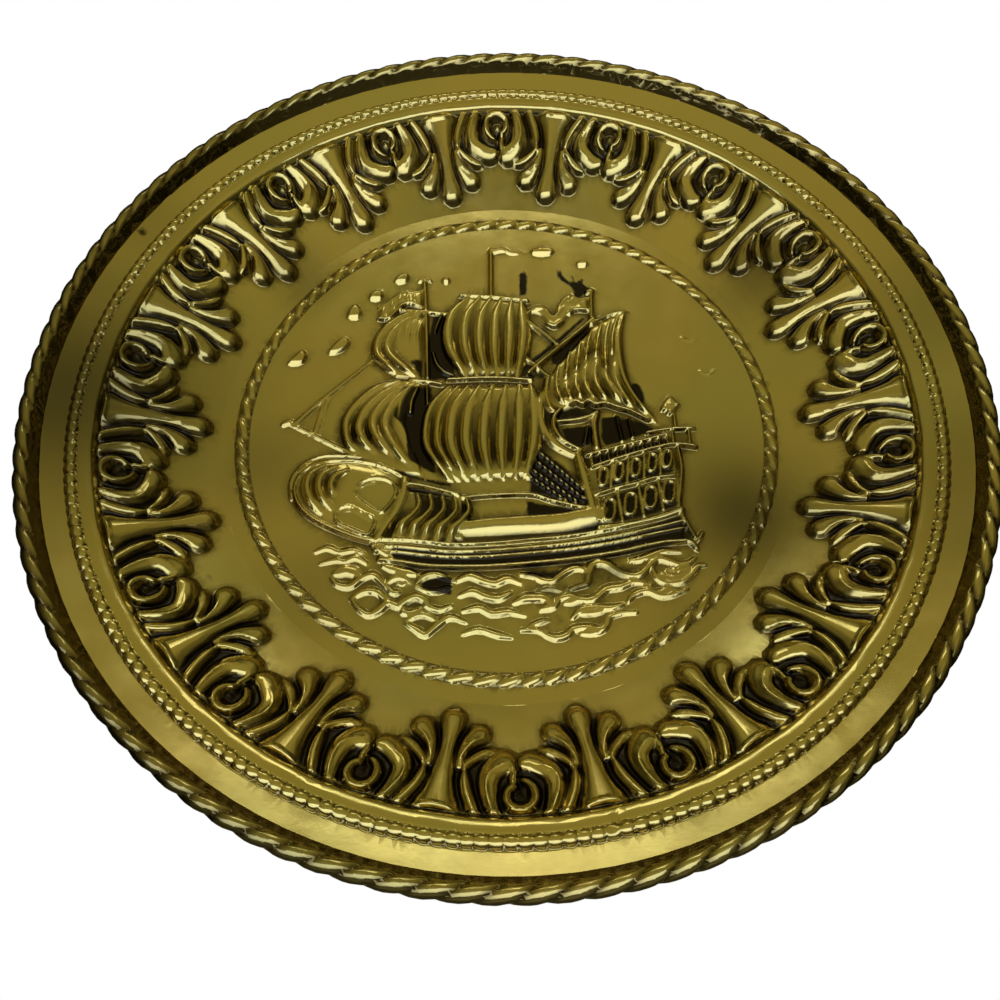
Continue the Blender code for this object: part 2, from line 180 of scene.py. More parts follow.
def tilted(x, z, along, across, degrees):
    """Plan positions given along and across a tilted axis through a place."""
    lean = math.radians(degrees)
    return np.stack([
        x + along * math.cos(lean) - across * math.sin(lean),
        z + along * math.sin(lean) + across * math.cos(lean),
    ], axis=-1)


def oval(x, z, half_long, half_wide, tilt=0.0, steps=24):
    """Points round a tilted ellipse."""
    turn = np.radians(np.linspace(0.0, 360.0, steps))
    return tilted(x, z, half_long * np.cos(turn), half_wide * np.sin(turn), tilt)


def blend_curves(first, second, share):
    """The curve a share of the way from one to another of as many points."""
    return np.array(first) * (1 - share) + np.array(second) * share


def round_top(place):
    """Section of a rounded rib."""
    return np.clip(1 - place**2, 0, 1) ** 0.9


def flat_top(place):
    """Section of a rib with a broad back."""
    return np.clip(1 - np.abs(place) ** 2.6, 0, 1) ** 0.85


def soft_top(place):
    """Section of a low swelling that dies away at its foot."""
    return np.clip(1 - place**2, 0, 1) ** 1.6


def closed_curve(points, steps=5):
    """Points round the smooth closed curve through the given ones."""
    known = list(points)
    curve = smooth_curve(known[-2:] + known + known[:2], steps)
    return curve[2 * steps:-steps - 1]


def spread(values, places):
    """One value, or a few spread evenly, at places from 0 to 1."""
    known = np.atleast_1d(values)
    return np.interp(places, np.linspace(0, 1, len(known)), known)


def beside(x, z, start, end):
    """How far along a straight run each place lies, from 0 to 1, and its distance from the run."""
    run = end - start
    share = ((x - start[0]) * run[0] + (z - start[1]) * run[1]) / max(run @ run, 1e-9)
    share = np.clip(share, 0, 1)
    return share, np.hypot(x - start[0] - share * run[0], z - start[1] - share * run[1])


def away_from(x, z, middle, reach):
    """Squared distance of each place from a middle, in squares of a reach."""
    return ((x - middle[0]) ** 2 + (z - middle[1]) ** 2) / reach**2


def blurred(values, reach):
    """The map smoothed over a reach in cells."""
    half = max(1, int(3 * reach))
    weights = np.exp(-0.5 * (np.arange(-half, half + 1) / reach) ** 2)
    weights /= weights.sum()
    for axis in (0, 1):
        padded = np.pad(values, [(half, half) if axis == side else (0, 0) for side in (0, 1)], mode="edge")
        count = values.shape[axis]
        moved = [np.take(padded, range(start, start + count), axis=axis) for start in range(2 * half + 1)]
        values = sum(weight * part for weight, part in zip(weights, moved))
    return values


def bridged(values, reach):
    """The map with every gap filled that is narrower than twice the reach in cells."""
    return worn_in(-worn_in(-values, reach), reach)


def worn_in(values, reach):
    """The map with each place lowered to the lowest one within a reach in cells."""
    for axis in (0, 1):
        lowest = values.copy()
        for shift in range(1, reach + 1):
            for side in (shift, -shift):
                lowest = np.minimum(lowest, np.roll(values, side, axis=axis))
        values = lowest
    return values


class HeightMap:
    """Heights over a rectangle of the plan, on which raised and sunken forms are laid."""

    def __init__(self, low, high, step):
        self.low = np.array(low, dtype=float)
        self.step = step
        self.shape = np.ceil((np.array(high) - self.low) / step).astype(int) + 1
        self.height = np.zeros(self.shape)

    def window(self, points, reach):
        """The part of the map within a reach of the points."""
        low = np.floor((points.min(axis=0) - reach - self.low) / self.step).astype(int)
        high = np.ceil((points.max(axis=0) + reach - self.low) / self.step).astype(int) + 1
        low = np.clip(low, 0, self.shape)
        high = np.clip(high, low, self.shape)
        return slice(low[0], high[0]), slice(low[1], high[1])

    def axes(self, window):
        """Plan coordinates of the rows and columns of a window."""
        x = self.low[0] + self.step * np.arange(window[0].start, window[0].stop)
        z = self.low[1] + self.step * np.arange(window[1].start, window[1].stop)
        return x[:, None], z[None, :]

    def stroke(self, points, halves, lifts, section, steps, sides=(1.0, 1.0)):
        """A window and the rise in it of a rib along a smooth curve, with halves and lifts spread along it.

        The half width is multiplied by the first of sides on the left of the curve and by the second on
        its right.
        """
        crest = smooth_curve(points, steps)
        places = np.linspace(0, 1, len(crest))
        halves = spread(halves, places)
        lifts = spread(lifts, places)
        widest = max(sides)
        window = self.window(crest, halves.max() * widest)
        rise = np.zeros((window[0].stop - window[0].start, window[1].stop - window[1].start))
        for index in range(len(crest) - 1):
            start, end = crest[index], crest[index + 1]
            part = self.window(crest[index:index + 2], max(halves[index:index + 2]) * widest)
            x, z = self.axes(part)
            share, gap = beside(x, z, start, end)
            half = halves[index] + (halves[index + 1] - halves[index]) * share
            run = end - start
            left = run[0] * (z - start[1]) - run[1] * (x - start[0]) > 0
            half = half * np.where(left, sides[0], sides[1])
            lift = lifts[index] + (lifts[index + 1] - lifts[index]) * share
            inner = tuple(slice(a.start - b.start, a.stop - b.start) for a, b in zip(part, window))
            rise[inner] = np.maximum(rise[inner], lift * section(gap / np.maximum(half, 1e-6)))
        return window, rise

    def ridge(self, points, halves, lifts, section=round_top, steps=6, sides=(1.0, 1.0)):
        """Raise a rib along a smooth curve; where forms meet, the higher one shows."""
        window, rise = self.stroke(points, halves, lifts, section, steps, sides)
        self.height[window] = np.maximum(self.height[window], rise)

    def ridges(self, *ribs):
        """Raise plain ribs, each given as its curve, half widths and lifts."""
        for curve, halves, lifts in ribs:
            self.ridge(curve, halves, lifts)

    def swell(self, points, halves, lifts, section=soft_top, steps=6):
        """Add a rib on top of what is there, or sink a groove where the lift is negative."""
        sign = -1.0 if np.min(lifts) < 0 else 1.0
        window, rise = self.stroke(points, halves, sign * np.array(lifts), section, steps)
        self.height[window] += sign * rise

    def inset(self, outline):
        """A window and how deep inside a closed outline each place in it lies; negative is outside."""
        outline = np.array(outline, dtype=float)
        window = self.window(outline, 1.0)
        x, z = self.axes(window)
        odd = np.zeros((x.size, z.size), dtype=bool)
        gap = np.full(odd.shape, np.inf)
        for start, end in zip(outline, np.roll(outline, -1, axis=0)):
            gap = np.minimum(gap, beside(x, z, start, end)[1])
            run = end - start
            if run[1] != 0:
                crosses = (start[1] > z) != (end[1] > z)
                odd ^= crosses & (x < start[0] + run[0] * (z - start[1]) / run[1])
        return window, np.where(odd, gap, -gap)

    def pad(self, outline, lift, edge=0.8):
        """Raise the inside of an outline, rounded off over an edge."""
        window, depth = self.inset(outline)
        rise = lift * (1 - (1 - np.clip(depth / edge, 0, 1)) ** 2)
        self.height[window] = np.maximum(self.height[window], rise)

    def bulge(self, outline, lift, slope):
        """Raise the inside of an outline so that it slopes down towards its lowest point."""
        window, depth = self.inset(outline)
        z = self.axes(window)[1]
        rise = np.minimum(lift, 0.15 + slope * (z - np.min(np.array(outline)[:, 1])))
        rise = np.clip(np.minimum(rise, 2.0 * depth), 0, None)
        self.height[window] = np.maximum(self.height[window], rise)

    def sink(self, outline, depth, edge=0.6):
        """Lower the inside of an outline, with a slope at its border."""
        window, inside = self.inset(outline)
        self.height[window] -= depth * np.clip(inside / edge, 0, 1)

    def level(self, outline, height, edge=0.6):
        """Bring the inside of an outline to one height."""
        window, inside = self.inset(outline)
        share = np.clip(inside / edge, 0, 1)
        self.height[window] = self.height[window] * (1 - share) + height * share

    def at(self, x, z, values=None):
        """Heights at plan positions, by linear interpolation."""
        values = self.height if values is None else values
        i = np.clip((x - self.low[0]) / self.step, 0, self.shape[0] - 1.001)
        j = np.clip((z - self.low[1]) / self.step, 0, self.shape[1] - 1.001)
        a, b = i.astype(int), j.astype(int)
        p, q = i - a, j - b
        near = values[a, b] * (1 - p) + values[a + 1, b] * p
        far = values[a, b + 1] * (1 - p) + values[a + 1, b + 1] * p
        return near * (1 - q) + far * q


# ------------------------------------------------------------------ the border of leaves and scrolls

# Turns are degrees from the palmette's axis, with radii in millimetres. The two sides differ a little,
# because the scroll is wider on its right.
BORDER_MAP = ((92.0, -25.0), (132.0, 25.0))
STRAPS = (
    [(4.7, 129.7), (4.1, 127), (3.5, 124), (3.1, 121), (2.9, 118.4)],
    [(-4.5, 129.7), (-3.8, 127), (-3.1, 124), (-2.65, 121), (-2.5, 118.6)],
)
LEAVES = (
    ([(7.1, 129.7), (6.6, 127), (6.25, 124), (6.1, 121), (6.3, 118.6), (7.0, 116.4), (8.1, 114.7)],
     (1.9, 2.5, 2.9, 3.2, 3.4, 3.7, 4.0)),
    ([(-6.5, 129.7), (-5.9, 127), (-5.4, 124), (-5.2, 121), (-5.6, 118.4), (-6.8, 116.2), (-8.3, 114.7),
      (-9.1, 114.9)],
     (1.7, 2.4, 2.8, 3.1, 3.3, 3.4, 3.3, 2.6)),
)
LEAF_CRESTS = (
    [(6.9, 129.7), (6.3, 126.5), (5.9, 123), (5.9, 120), (6.6, 117.3), (8.4, 115.3)],
    [(-6.3, 129.7), (-5.5, 126), (-4.9, 123), (-4.8, 120), (-5.4, 117.5), (-6.9, 115.8)],
)


def placed(places, side=1):
    """Plan positions of turns and radii, mirrored where the side is -1."""
    return [polar(radius, side * turn) for turn, radius in places]


def add_trunk(border):
    """The middle lobe of the palmette, with a hollowed cap at its outer end."""
    trunk = placed([(0, 129.6), (0, 127), (0, 124), (0, 120), (0, 116), (0, 112), (0, 108), (0, 105),
                    (0, 102.2)])
    border.ridge(trunk, (6.6, 5.3, 4.4, 3.6, 2.9, 2.5, 2.8, 3.5, 3.8), LEAF, flat_top)
    crest = [(-2.9, 130.2), (-1.6, 128.9), (0, 128.4), (1.6, 128.9), (2.9, 130.2)]
    border.swell(placed(crest), (0.5, 0.7, 0.8, 0.7, 0.5), (0.3, 0.55, 0.6, 0.55, 0.3))
    border.sink(placed([(-2.5, 130.5), (-1.2, 129.6), (0, 129.25), (1.2, 129.6), (2.5, 130.5), (0, 131.2)]),
                1.5, 0.5)
    for side in (-1, 1):
        border.swell(placed([(0.5, 118), (0.42, 111), (0.8, 104.5)], side), (0.4, 0.5, 0.4),
                     (-0.1, -0.3, -0.1))


def add_lobes(border):
    """The lower and the upper lobe on each side of the trunk."""
    for side in (-1, 1):
        lobe = placed([(1.95, 117), (2.05, 114), (2.5, 111), (3.35, 108.4), (4.4, 106.3)], side)
        border.ridge(lobe, (0.9, 1.5, 2.1, 2.9, 3.5), (1.8, 2.1, 2.3, 2.4, 2.4), flat_top)
        crest = placed([(2.1, 114.5), (2.9, 111), (3.9, 108.9), (5.2, 107.5)], side)
        border.swell(crest, (0.5, 0.6, 0.7, 0.5), (0.2, 0.5, 0.5, 0.2))
        upper = placed([(2.8, 116.7), (3.6, 114.7), (4.6, 113.1), (5.6, 112.0), (6.6, 111.4)], side)
        border.ridge(upper, (1.5, 1.8, 1.9, 1.7, 0.9), (2.5, 2.3, 2.2, 2.0, 1.4))
        border.swell(upper[1:], (0.3, 0.4, 0.3), (-0.15, -0.5, -0.1))


def add_palmette(border):
    """A leaf that hangs inwards from the shoulder, with a strap and a curled outer leaf on each side."""
    add_trunk(border)
    add_lobes(border)
    for strap in STRAPS:
        border.ridge(placed(strap), (1.8, 2.1, 2.1, 2.0, 1.3), LEAF * 0.92)
    for (leaf, halves), crest in zip(LEAVES, LEAF_CRESTS):
        border.ridge(placed(leaf), halves, (2.2, 2.3, 2.3, 2.3, 2.4, 2.4, 2.4), flat_top)
        border.swell(placed(crest), (0.5, 0.8, 0.9, 0.9, 0.6), (0.3, 0.55, 0.6, 0.6, 0.25))


def add_scroll(border, turn):
    """An open curl with a hollow eye, and a small stem below its opening."""
    middle = polar(124.4, turn)
    sweep = np.linspace(168.0, -150.0, 22)
    reach = np.interp(sweep, (-150, -90, -30, 60, 168), (2.9, 3.3, 3.9, 4.4, 4.5))
    curl = [middle + polar(radius, turn + angle) for radius, angle in zip(reach, sweep)]
    border.ridge(curl, (1.0, 1.9, 2.0, 2.0, 1.8, 1.4), (1.7, 2.5, 2.6, 2.6, 2.5, 2.2), steps=2)
    border.ridge([middle, middle + polar(0.4, turn)], 1.2, 0.7, soft_top, steps=1)
    edge = [middle + polar(radius + 0.5, turn + angle) for radius, angle in zip(reach, sweep)]
    border.swell(edge, (0.4, 0.6, 0.6, 0.5), (0.1, 0.4, 0.4, 0.2), steps=2)
    stem = placed([(turn - 0.75, 119.8), (turn - 0.5, 117.4), (turn - 0.7, 115.4)])
    border.ridge(stem, (1.3, 1.2, 0.9), (2.0, 1.9, 1.4))
    border.swell(placed([(turn + 0.2, 122.4), (turn + 0.25, 119.6), (turn, 116.4)]), 0.5, -0.9)


def make_border():
    """The map of one repeat of the border, from the palmette's axis to half a repeat on each side."""
    border = HeightMap(BORDER_MAP[0], BORDER_MAP[1], BORDER_STEP)
    add_palmette(border)
    for turn in (-HALF_REPEAT, HALF_REPEAT):
        add_scroll(border, turn)
    return border


# ------------------------------------------------------------------ the ship and the sea

CLOUDS = (
    [(-76.6, 25.0), (-74.0, 28.6), (-71.4, 31.4), (-69.5, 28.8), (-70.4, 25.6), (-73.6, 24.2)],
    [(-62.6, 29.6), (-60.6, 33.4), (-57.6, 36.4), (-55.2, 35.6), (-55.0, 32.6), (-57.2, 30.4),
     (-60.4, 28.8)],
    [(-56.6, 44.8), (-56.2, 48.6), (-54.2, 51.4), (-52.0, 49.4), (-51.4, 46.2), (-53.2, 44.0)],
    [(-49.4, 53.4), (-48.6, 56.4), (-46.0, 57.6), (-44.0, 56.2), (-44.4, 53.4), (-47.0, 52.2)],
    [(-40.6, 61.0), (-39.6, 63.6), (-36.6, 65.4), (-34.8, 64.0), (-35.4, 61.4), (-38.0, 60.0)],
    [(-23.2, 61.6), (-22.4, 63.2), (-20.2, 63.0), (-19.8, 61.0), (-21.6, 59.6)],
    [(9.4, 75.0), (12.0, 76.8), (16.0, 77.0), (18.8, 75.4), (17.0, 73.2), (12.0, 72.8)],
    [(26.2, 69.0), (27.6, 70.6), (30.0, 70.6), (31.2, 69.0), (29.6, 67.4), (27.2, 67.4)],
)

CLOUD_LIFT = 1.7
CLOUD_SLOPE = 0.78
BIRD = (0.7, 0.6)

# The sails' folds: how they rise from head to foot, then crest from head to foot and half width of each.
FORE_LIFTS = (1.4, 1.8, 2.1, 2.4, 2.7, 3.1, 3.2, 0.7)
COURSE_LIFTS = (1.4, 1.9, 2.2, 2.6, 2.9, 3.3, 3.4, 2.2, 0.6)
MAIN_LIFTS = (1.6, 2.0, 2.3, 2.6, 2.9, 3.2, 3.2, 1.0)
MIZZEN_LIFTS = (1.4, 1.8, 2.0, 2.3, 2.7, 3.2, 3.3, 0.9)
FORE_TOPSAIL = (
    ([(-32, 47.6), (-38, 44.6), (-43, 39), (-45.2, 33), (-44.6, 28), (-41, 23.6), (-37.4, 20.6)], 1.7),
    ([(-33, 45.2), (-37.4, 41.8), (-40.8, 36.6), (-41.8, 31.4), (-39.4, 26.8), (-35, 22.4), (-30.6, 19)],
     1.9),
)
FORE_COURSE = (
    ([(-36.6, 17.8), (-44, 15), (-50, 9), (-53.4, 3), (-54, -2), (-52.4, -8), (-47.6, -12.6)], 1.8),
    ([(-34.6, 17.4), (-42, 12.6), (-47, 7), (-49.4, 1), (-49.4, -3.4), (-46.8, -8), (-41.2, -13.6)], 2.0),
    ([(-32.8, 17), (-39.6, 11.6), (-43.6, 6), (-45.2, 1), (-44.2, -4), (-40.4, -9.6), (-35.4, -15)], 2.0),
    ([(-31.4, 16.6), (-37.4, 10.4), (-40.2, 5), (-41.2, 0), (-39.2, -6), (-34.8, -12.6), (-29.4, -18.8)],
     2.1),
)
MIZZEN_FOLDS = (
    ([(42.6, 45.6), (40.2, 37), (39.8, 27), (41, 17), (44.8, 8), (50.4, 0.4)], 1.3),
    ([(40.4, 44.8), (38, 36), (37.2, 27)], 1.0),
    ([(38.6, 27), (38, 19), (39.6, 12), (43.6, 4.8)], 1.5),
    ([(37.6, 43.8), (35.6, 35), (34.8, 26), (35, 20)], 1.2),
    ([(35.8, 30), (34.6, 21), (35.8, 14.6), (39.6, 7.4)], 1.6),
    ([(34.6, 42.2), (32.6, 34), (31.4, 26)], 1.1),
    ([(32.6, 28), (31, 20), (31.8, 13.6), (35.2, 8)], 1.5),
    ([(30.6, 38.4), (29, 32), (27.8, 24)], 1.0),
    ([(28.8, 26), (27.4, 18), (28.4, 12), (31.4, 8)], 1.4),
    ([(26.6, 34), (25.4, 27), (24.4, 20)], 1.0),
    ([(25, 22), (24.2, 15), (26, 9)], 1.3),
    ([(22.6, 29.6), (21.4, 23), (20.8, 17)], 0.9),
    ([(21.2, 18), (21, 12.6), (22.8, 8.2)], 1.2),
    ([(18.6, 24), (17.6, 17), (18, 11), (20, 7.4)], 1.1),
)


def add_sky(ship):
    """Drop-shaped clouds and two birds."""
    for outline in CLOUDS:
        ship.bulge(closed_curve(outline), CLOUD_LIFT, CLOUD_SLOPE)
    ship.ridge([(62.6, 35.4), (64.8, 33.8), (67.4, 35.2)], *BIRD)
    ship.ridge([(67.6, 21.0), (70.0, 19.4), (72.2, 21.2)], *BIRD)


# Folds of the flag: x, foot and head.
FLAG_FOLDS = ((-32, 51.5, 56), (-34.5, 51.8, 56), (-37.2, 50.6, 55.6), (-40, 47.6, 52.6), (-43, 45.4, 50))


def add_foremast(ship):
    """The foremast with its top."""
    ship.ridge([(-29.3, 62), (-28.5, 50), (-28, 40), (-27.5, 30), (-27, 19)], 0.9, 1.5)
    ship.ridge([(-31.2, 61.6), (-27.2, 61.6)], 0.9, 1.3)


def add_flag(ship):
    """The flag at the foremast, and its folds."""
    flag = [(-29.6, 57), (-33, 56.2), (-36.6, 56.6), (-40, 53.4), (-43.4, 50.6), (-45.4, 49)]
    hem = [(-45.2, 44.4), (-42, 44.4), (-39.6, 46.8), (-37.2, 50.2), (-34.4, 51.4), (-31.8, 50.4),
           (-30, 49.4)]
    ship.pad(flag + hem, 1.0, 1.2)
    ship.ridge(flag, 0.7, 1.4)
    ship.ridge(hem, (0.8, 1.1, 1.1, 1.0, 0.7), 2.0, steps=4)
    for x, low, high in FLAG_FOLDS:
        fold = [(x, low), (x - 0.8, (low + high) / 2), (x - 0.3, high)]
        ship.ridge(fold, (0.6, 0.9, 0.5), (1.5, 1.7, 1.2))


def add_fore_topsail(ship):
    """The foremast's topsail with its spar."""
    outline = [(-31, 47.6), (-37, 45.8), (-42, 42), (-45.2, 36.6), (-46.6, 31), (-45.8, 26.8), (-42.4, 22.2),
               (-38, 19), (-30, 18), (-29, 30), (-29.6, 47)]
    ship.pad(outline, 1.1, 1.8)
    for curve, half in FORE_TOPSAIL:
        ship.ridge(curve, (0.8, half * 1.15, half * 1.15, half, 1.1), FORE_LIFTS, sides=(1.35, 0.9))
    panel = [(-36, 43.6), (-39.2, 38), (-39.8, 32), (-37.4, 27.6), (-33, 26.2), (-29.8, 27), (-29.6, 44)]
    ship.level(panel, 1.2, 1.0)
    for x, foot in ((-37.6, 31), (-35.4, 28.4), (-33.2, 27.6), (-31, 27.6)):
        ship.ridge([(x + 2.0, 44.6), (x, 37), (x + 0.6, foot)], (0.5, 1.0, 0.5), (1.3, 1.8, 1.3))
    ship.ridge([(-37, 48), (-28, 47.2), (-20, 46)], 0.9, 1.8)
    ship.ridge(oval(-31.4, 46, 1.5, 0.8, 20), 0.9, 1.9, steps=1)
    ship.ridges(
        ([(-25, 38), (-24, 42), (-22.5, 46)], (0.6, 0.8, 0.7), 1.6),
        ([(-25.6, 30), (-24, 24.6), (-21.4, 21.4), (-18, 19.6)], (0.5, 0.8, 0.9, 0.8), 1.7),
        ([(-33, 17.8), (-27, 17.2), (-22, 16)], 0.9, 1.9),
    )


def add_fore_course(ship):
    """The foremast's lower sail."""
    outline = [(-36, 18.2), (-45, 15.6), (-52, 9), (-55.4, 2), (-55.8, -3), (-53.6, -9.4), (-48, -14.2),
               (-42, -16.4), (-34, -19.4), (-27.4, -19.6), (-29, -14), (-32, -7), (-34, 2), (-31, 10),
               (-28.4, 17)]
    ship.pad(outline, 1.1, 1.8)
    for curve, half in FORE_COURSE:
        halves = (0.6, half * 1.1, half * 1.15, half * 1.1, half, 1.1)
        ship.ridge(curve, halves, COURSE_LIFTS, sides=(1.4, 0.85))
    ship.ridge([(-38.4, -3), (-36, -9), (-31.6, -15.6)], (1.6, 2.6, 1.4), (2.2, 2.4, 1.8), soft_top)
    ship.ridges(
        ([(-32.6, 15.4), (-35.8, 9), (-36.6, 1)], (0.5, 0.9, 0.5), (1.6, 2.1, 1.2)),
        ([(-30, 15.4), (-32, 9.6), (-32.5, 4.6)], (0.5, 0.7, 0.8), (1.6, 2.0, 2.2)),
        ([(-27.2, 16), (-26.8, 8)], 0.7, 1.7),
    )


def add_mainmast(ship):
    """The mainmast with its pennant, topsail and course."""
    ship.ridge([(-5, 76), (-5, 54)], 0.9, 1.5)
    ship.ridge([(-5, 75), (-0.5, 76), (3, 74.2), (7, 75)], (1.4, 1.1, 0.8, 0.3), (1.3, 1.3, 1.2, 0.8))
    luff = [(-14, 54), (-20, 47), (-22, 38), (-20.5, 29), (-15, 20)]
    leech = [(7, 51.5), (7.5, 45), (8, 37), (7, 28), (5, 20)]
    ship.pad(luff + leech[::-1], 1.2, 1.8)
    for share in (0.05, 0.24, 0.42, 0.6, 0.78, 0.94):
        curve = blend_curves(luff, leech, share)
        ship.ridge(curve, (0.9, 2.3, 2.5, 2.3, 1.2), MAIN_LIFTS, sides=(1.3, 0.95))
    ship.ridge([(-16, 54.5), (-4, 53.6), (8, 52)], 0.9, 2.0)
    ship.ridge([(-20, 18), (-5, 18.6), (9, 17.5)], 0.9, 2.0)
    luff = [(-20.4, 15), (-26, 8), (-28.2, 0), (-27.4, -10), (-19.4, -21)]
    leech = [(10, 15.5), (11, 8), (11.3, 0), (10.5, -9), (7.5, -20)]
    ship.pad(luff + leech[::-1], 1.2, 1.8)
    for share in (0.03, 0.13, 0.24, 0.37, 0.52, 0.67, 0.82, 0.95):
        half = 1.6 if share < 0.2 else 2.5
        curve = blend_curves(luff, leech, share)
        ship.ridge(curve, (0.9, half, half, half, 1.2), MAIN_LIFTS, sides=(1.3, 0.95))


def add_mizzenmast(ship):
    """The mizzen mast."""
    ship.ridge([(31.3, 57), (31, 48), (30.8, 41)], 0.9, 1.7)
    ship.ridge(oval(30.8, 55.8, 1.1, 0.6), 0.8, 1.8, steps=1)


def add_pennant(ship):
    """The mizzen mast's long pennant and the crossed spars."""
    upper = [(8, 46), (10, 48.5), (13, 49.3), (15, 47.6), (16.5, 45), (18.5, 45.5), (19.5, 49), (21.5, 52.5),
             (24, 54), (27, 52.5), (30, 53)]
    lower = [(30, 47.3), (27, 48), (24.5, 47.5), (22, 44.5), (20, 41), (17.5, 40), (15.5, 41), (13, 45.5),
             (10.5, 46.5)]
    ship.pad(upper + lower, 1.0, 1.2)
    ship.ridge(upper, 0.8, 1.4, steps=4)
    ship.ridges(
        ([(10.8, 48.2), (13.4, 48.2)], 1.2, 1.9),
        ([(15, 41.6), (17.6, 40.6), (20.4, 42.6)], (0.9, 1.3, 1.0), 2.0),
        ([(15, 47), (16.4, 45), (18.2, 44.6), (20.6, 48.6)], 0.7, 1.7),
        ([(23, 46), (25, 47.8), (29.6, 47.6)], (0.6, 1.1, 0.9), 2.0),
        ([(22.6, 51.6), (24.6, 53.2), (26, 51.8)], (0.7, 1.2, 0.8), 1.9),
        ([(6, 44.5), (12, 39), (18, 32.6)], 1.2, 1.8),
        ([(31.5, 43.4), (25, 37), (19, 31.4), (12, 24.5), (8, 20.5)], 1.15, 2.2),
        ([(7, 27), (10, 24), (14, 19.5)], 1.0, 1.7),
    )


def add_lateen(ship):
    """The three-cornered sail of the mizzen mast."""
    outline = [(31, 40.6), (36, 43.6), (40.6, 45.8), (44.4, 47.2), (42, 43.4), (41, 38), (40.8, 30),
               (41.6, 22), (43, 15), (46.4, 8), (52.6, -1.6), (48, 1), (42, 4.8), (33, 7.6), (25.5, 7.6),
               (20, 5), (15.5, 6), (13, 10), (14.4, 18), (18.6, 25), (25, 33)]
    ship.pad(outline, 1.2, 1.8)
    for curve, half in MIZZEN_FOLDS:
        ship.ridge(curve, (0.5, half * 1.1, half * 1.2, half * 1.1, 1.1), MIZZEN_LIFTS, sides=(0.9, 1.2))
    ship.ridge([(31, 41.6), (37, 45), (42, 46.4), (44.2, 46.7)], (0.8, 0.9, 0.9, 0.5), (1.9, 2.0, 1.9, 1.2))


def add_sail_foot(ship):
    """The rolled edges below the mizzen mast's sail."""
    rim = [(18.4, 5.4), (16.2, 2), (16, -2), (18, -6), (21.4, -8.8), (25, -10.5)]
    ship.ridge([(14.8, 19), (13.8, 12), (14.6, 7), (16, 5)], (1.3, 1.6, 1.4, 1.0), (2.0, 2.4, 2.4, 2.0))
    ship.ridge(rim, (1.1, 1.4, 1.4, 1.2, 0.9), (2.4, 2.9, 2.9, 2.6, 2.0))
    outer = [(12.4, 12), (11.6, 3), (13, -3), (16.6, -8.4), (22, -12.2)]
    ship.ridge(outer, (1.2, 1.9, 1.9, 1.2), (1.6, 2.0, 2.0, 1.6))
    foot = [(20, 9.6), (21.6, 7.6), (24, 8.8), (26, 7.4), (28, 9), (30.6, 7.2), (33.6, 7.8), (38, 6),
            (42, 4.6), (48, 1)]
    ship.ridge(foot, (0.9, 1.1, 1.0, 0.8), 2.6, steps=4)
    ship.ridge([(16.8, 0.6), (23, 1.2), (27.6, 2.4), (31, 4.4)], (0.8, 1.1, 0.9), 2.0)


def add_stays(ship):
    """The bowsprit's stays and spar."""
    ship.ridges(
        ([(-71, 1), (-63, 10), (-46.5, 26.5)], (1.1, 1.0, 0.7), 1.0),
        ([(-73, 1), (-68, -2), (-50, -12)], 0.9, 1.0),
        ([(-75.2, 0.6), (-73, 1.8)], 1.2, 1.3),
        ([(-62, 10.4), (-63.3, 4), (-64.5, -2.5)], 0.6, 0.8),
        ([(-60.6, 10.6), (-61.9, 4), (-62.8, -3)], 0.5, 0.7),
    )


def add_bow(ship):
    """The beak: a rolled rim round curled leaves."""
    body = [(-34, -19.6), (-42, -14.2), (-52, -12), (-60, -11.2), (-66.4, -13), (-70.4, -17.6),
            (-71.6, -23.4), (-70.2, -28.8), (-66, -34.4), (-59, -39), (-50, -42.4), (-44, -43.6), (-38, -42),
            (-33, -30)]
    ship.pad(body, 2.3, 7.5)
    rim = [(-34.6, -19.8), (-39, -17.2), (-45, -15.2), (-52, -14.2), (-59, -14.6), (-64.6, -16.6),
           (-68, -20.4), (-69, -25), (-67.4, -30), (-63, -34.6), (-56, -38.6), (-49, -41.6), (-44, -43.2)]
    ship.ridge(rim, (0.7, 0.8, 0.9, 0.9, 0.8), (2.2, 2.6, 2.7, 2.7, 2.4))
    ship.ridge([(-46, -12.9), (-55, -11.9), (-62, -12.4), (-67.6, -15.8), (-70.6, -21.4), (-70, -28)],
               (0.5, 0.7, 0.8, 0.6), (1.3, 1.6, 1.6, 1.3))
    ship.ridge([(-66, -15.8), (-68.2, -18.2)], 0.8, 2.3)
    for curve, half in (
        ([(-60, -16.4), (-64, -19.6), (-65, -24), (-63.6, -28.6), (-60, -33)], 1.7),
        ([(-56, -17), (-60, -19.8), (-61, -24), (-59.6, -28.2), (-56.6, -31.6)], 1.6),
        ([(-52, -18.2), (-55.8, -20.4), (-57, -23.8), (-56, -27)], 1.4),
    ):
        ship.swell(curve, (0.8, half, half, 1.4), (0.9, 1.6, 1.8, 1.7, 0.5), round_top)
    ship.ridge([(-51, -17.8), (-48, -18.6), (-44.6, -19)], (1.2, 1.1, 0.6), 2.0)


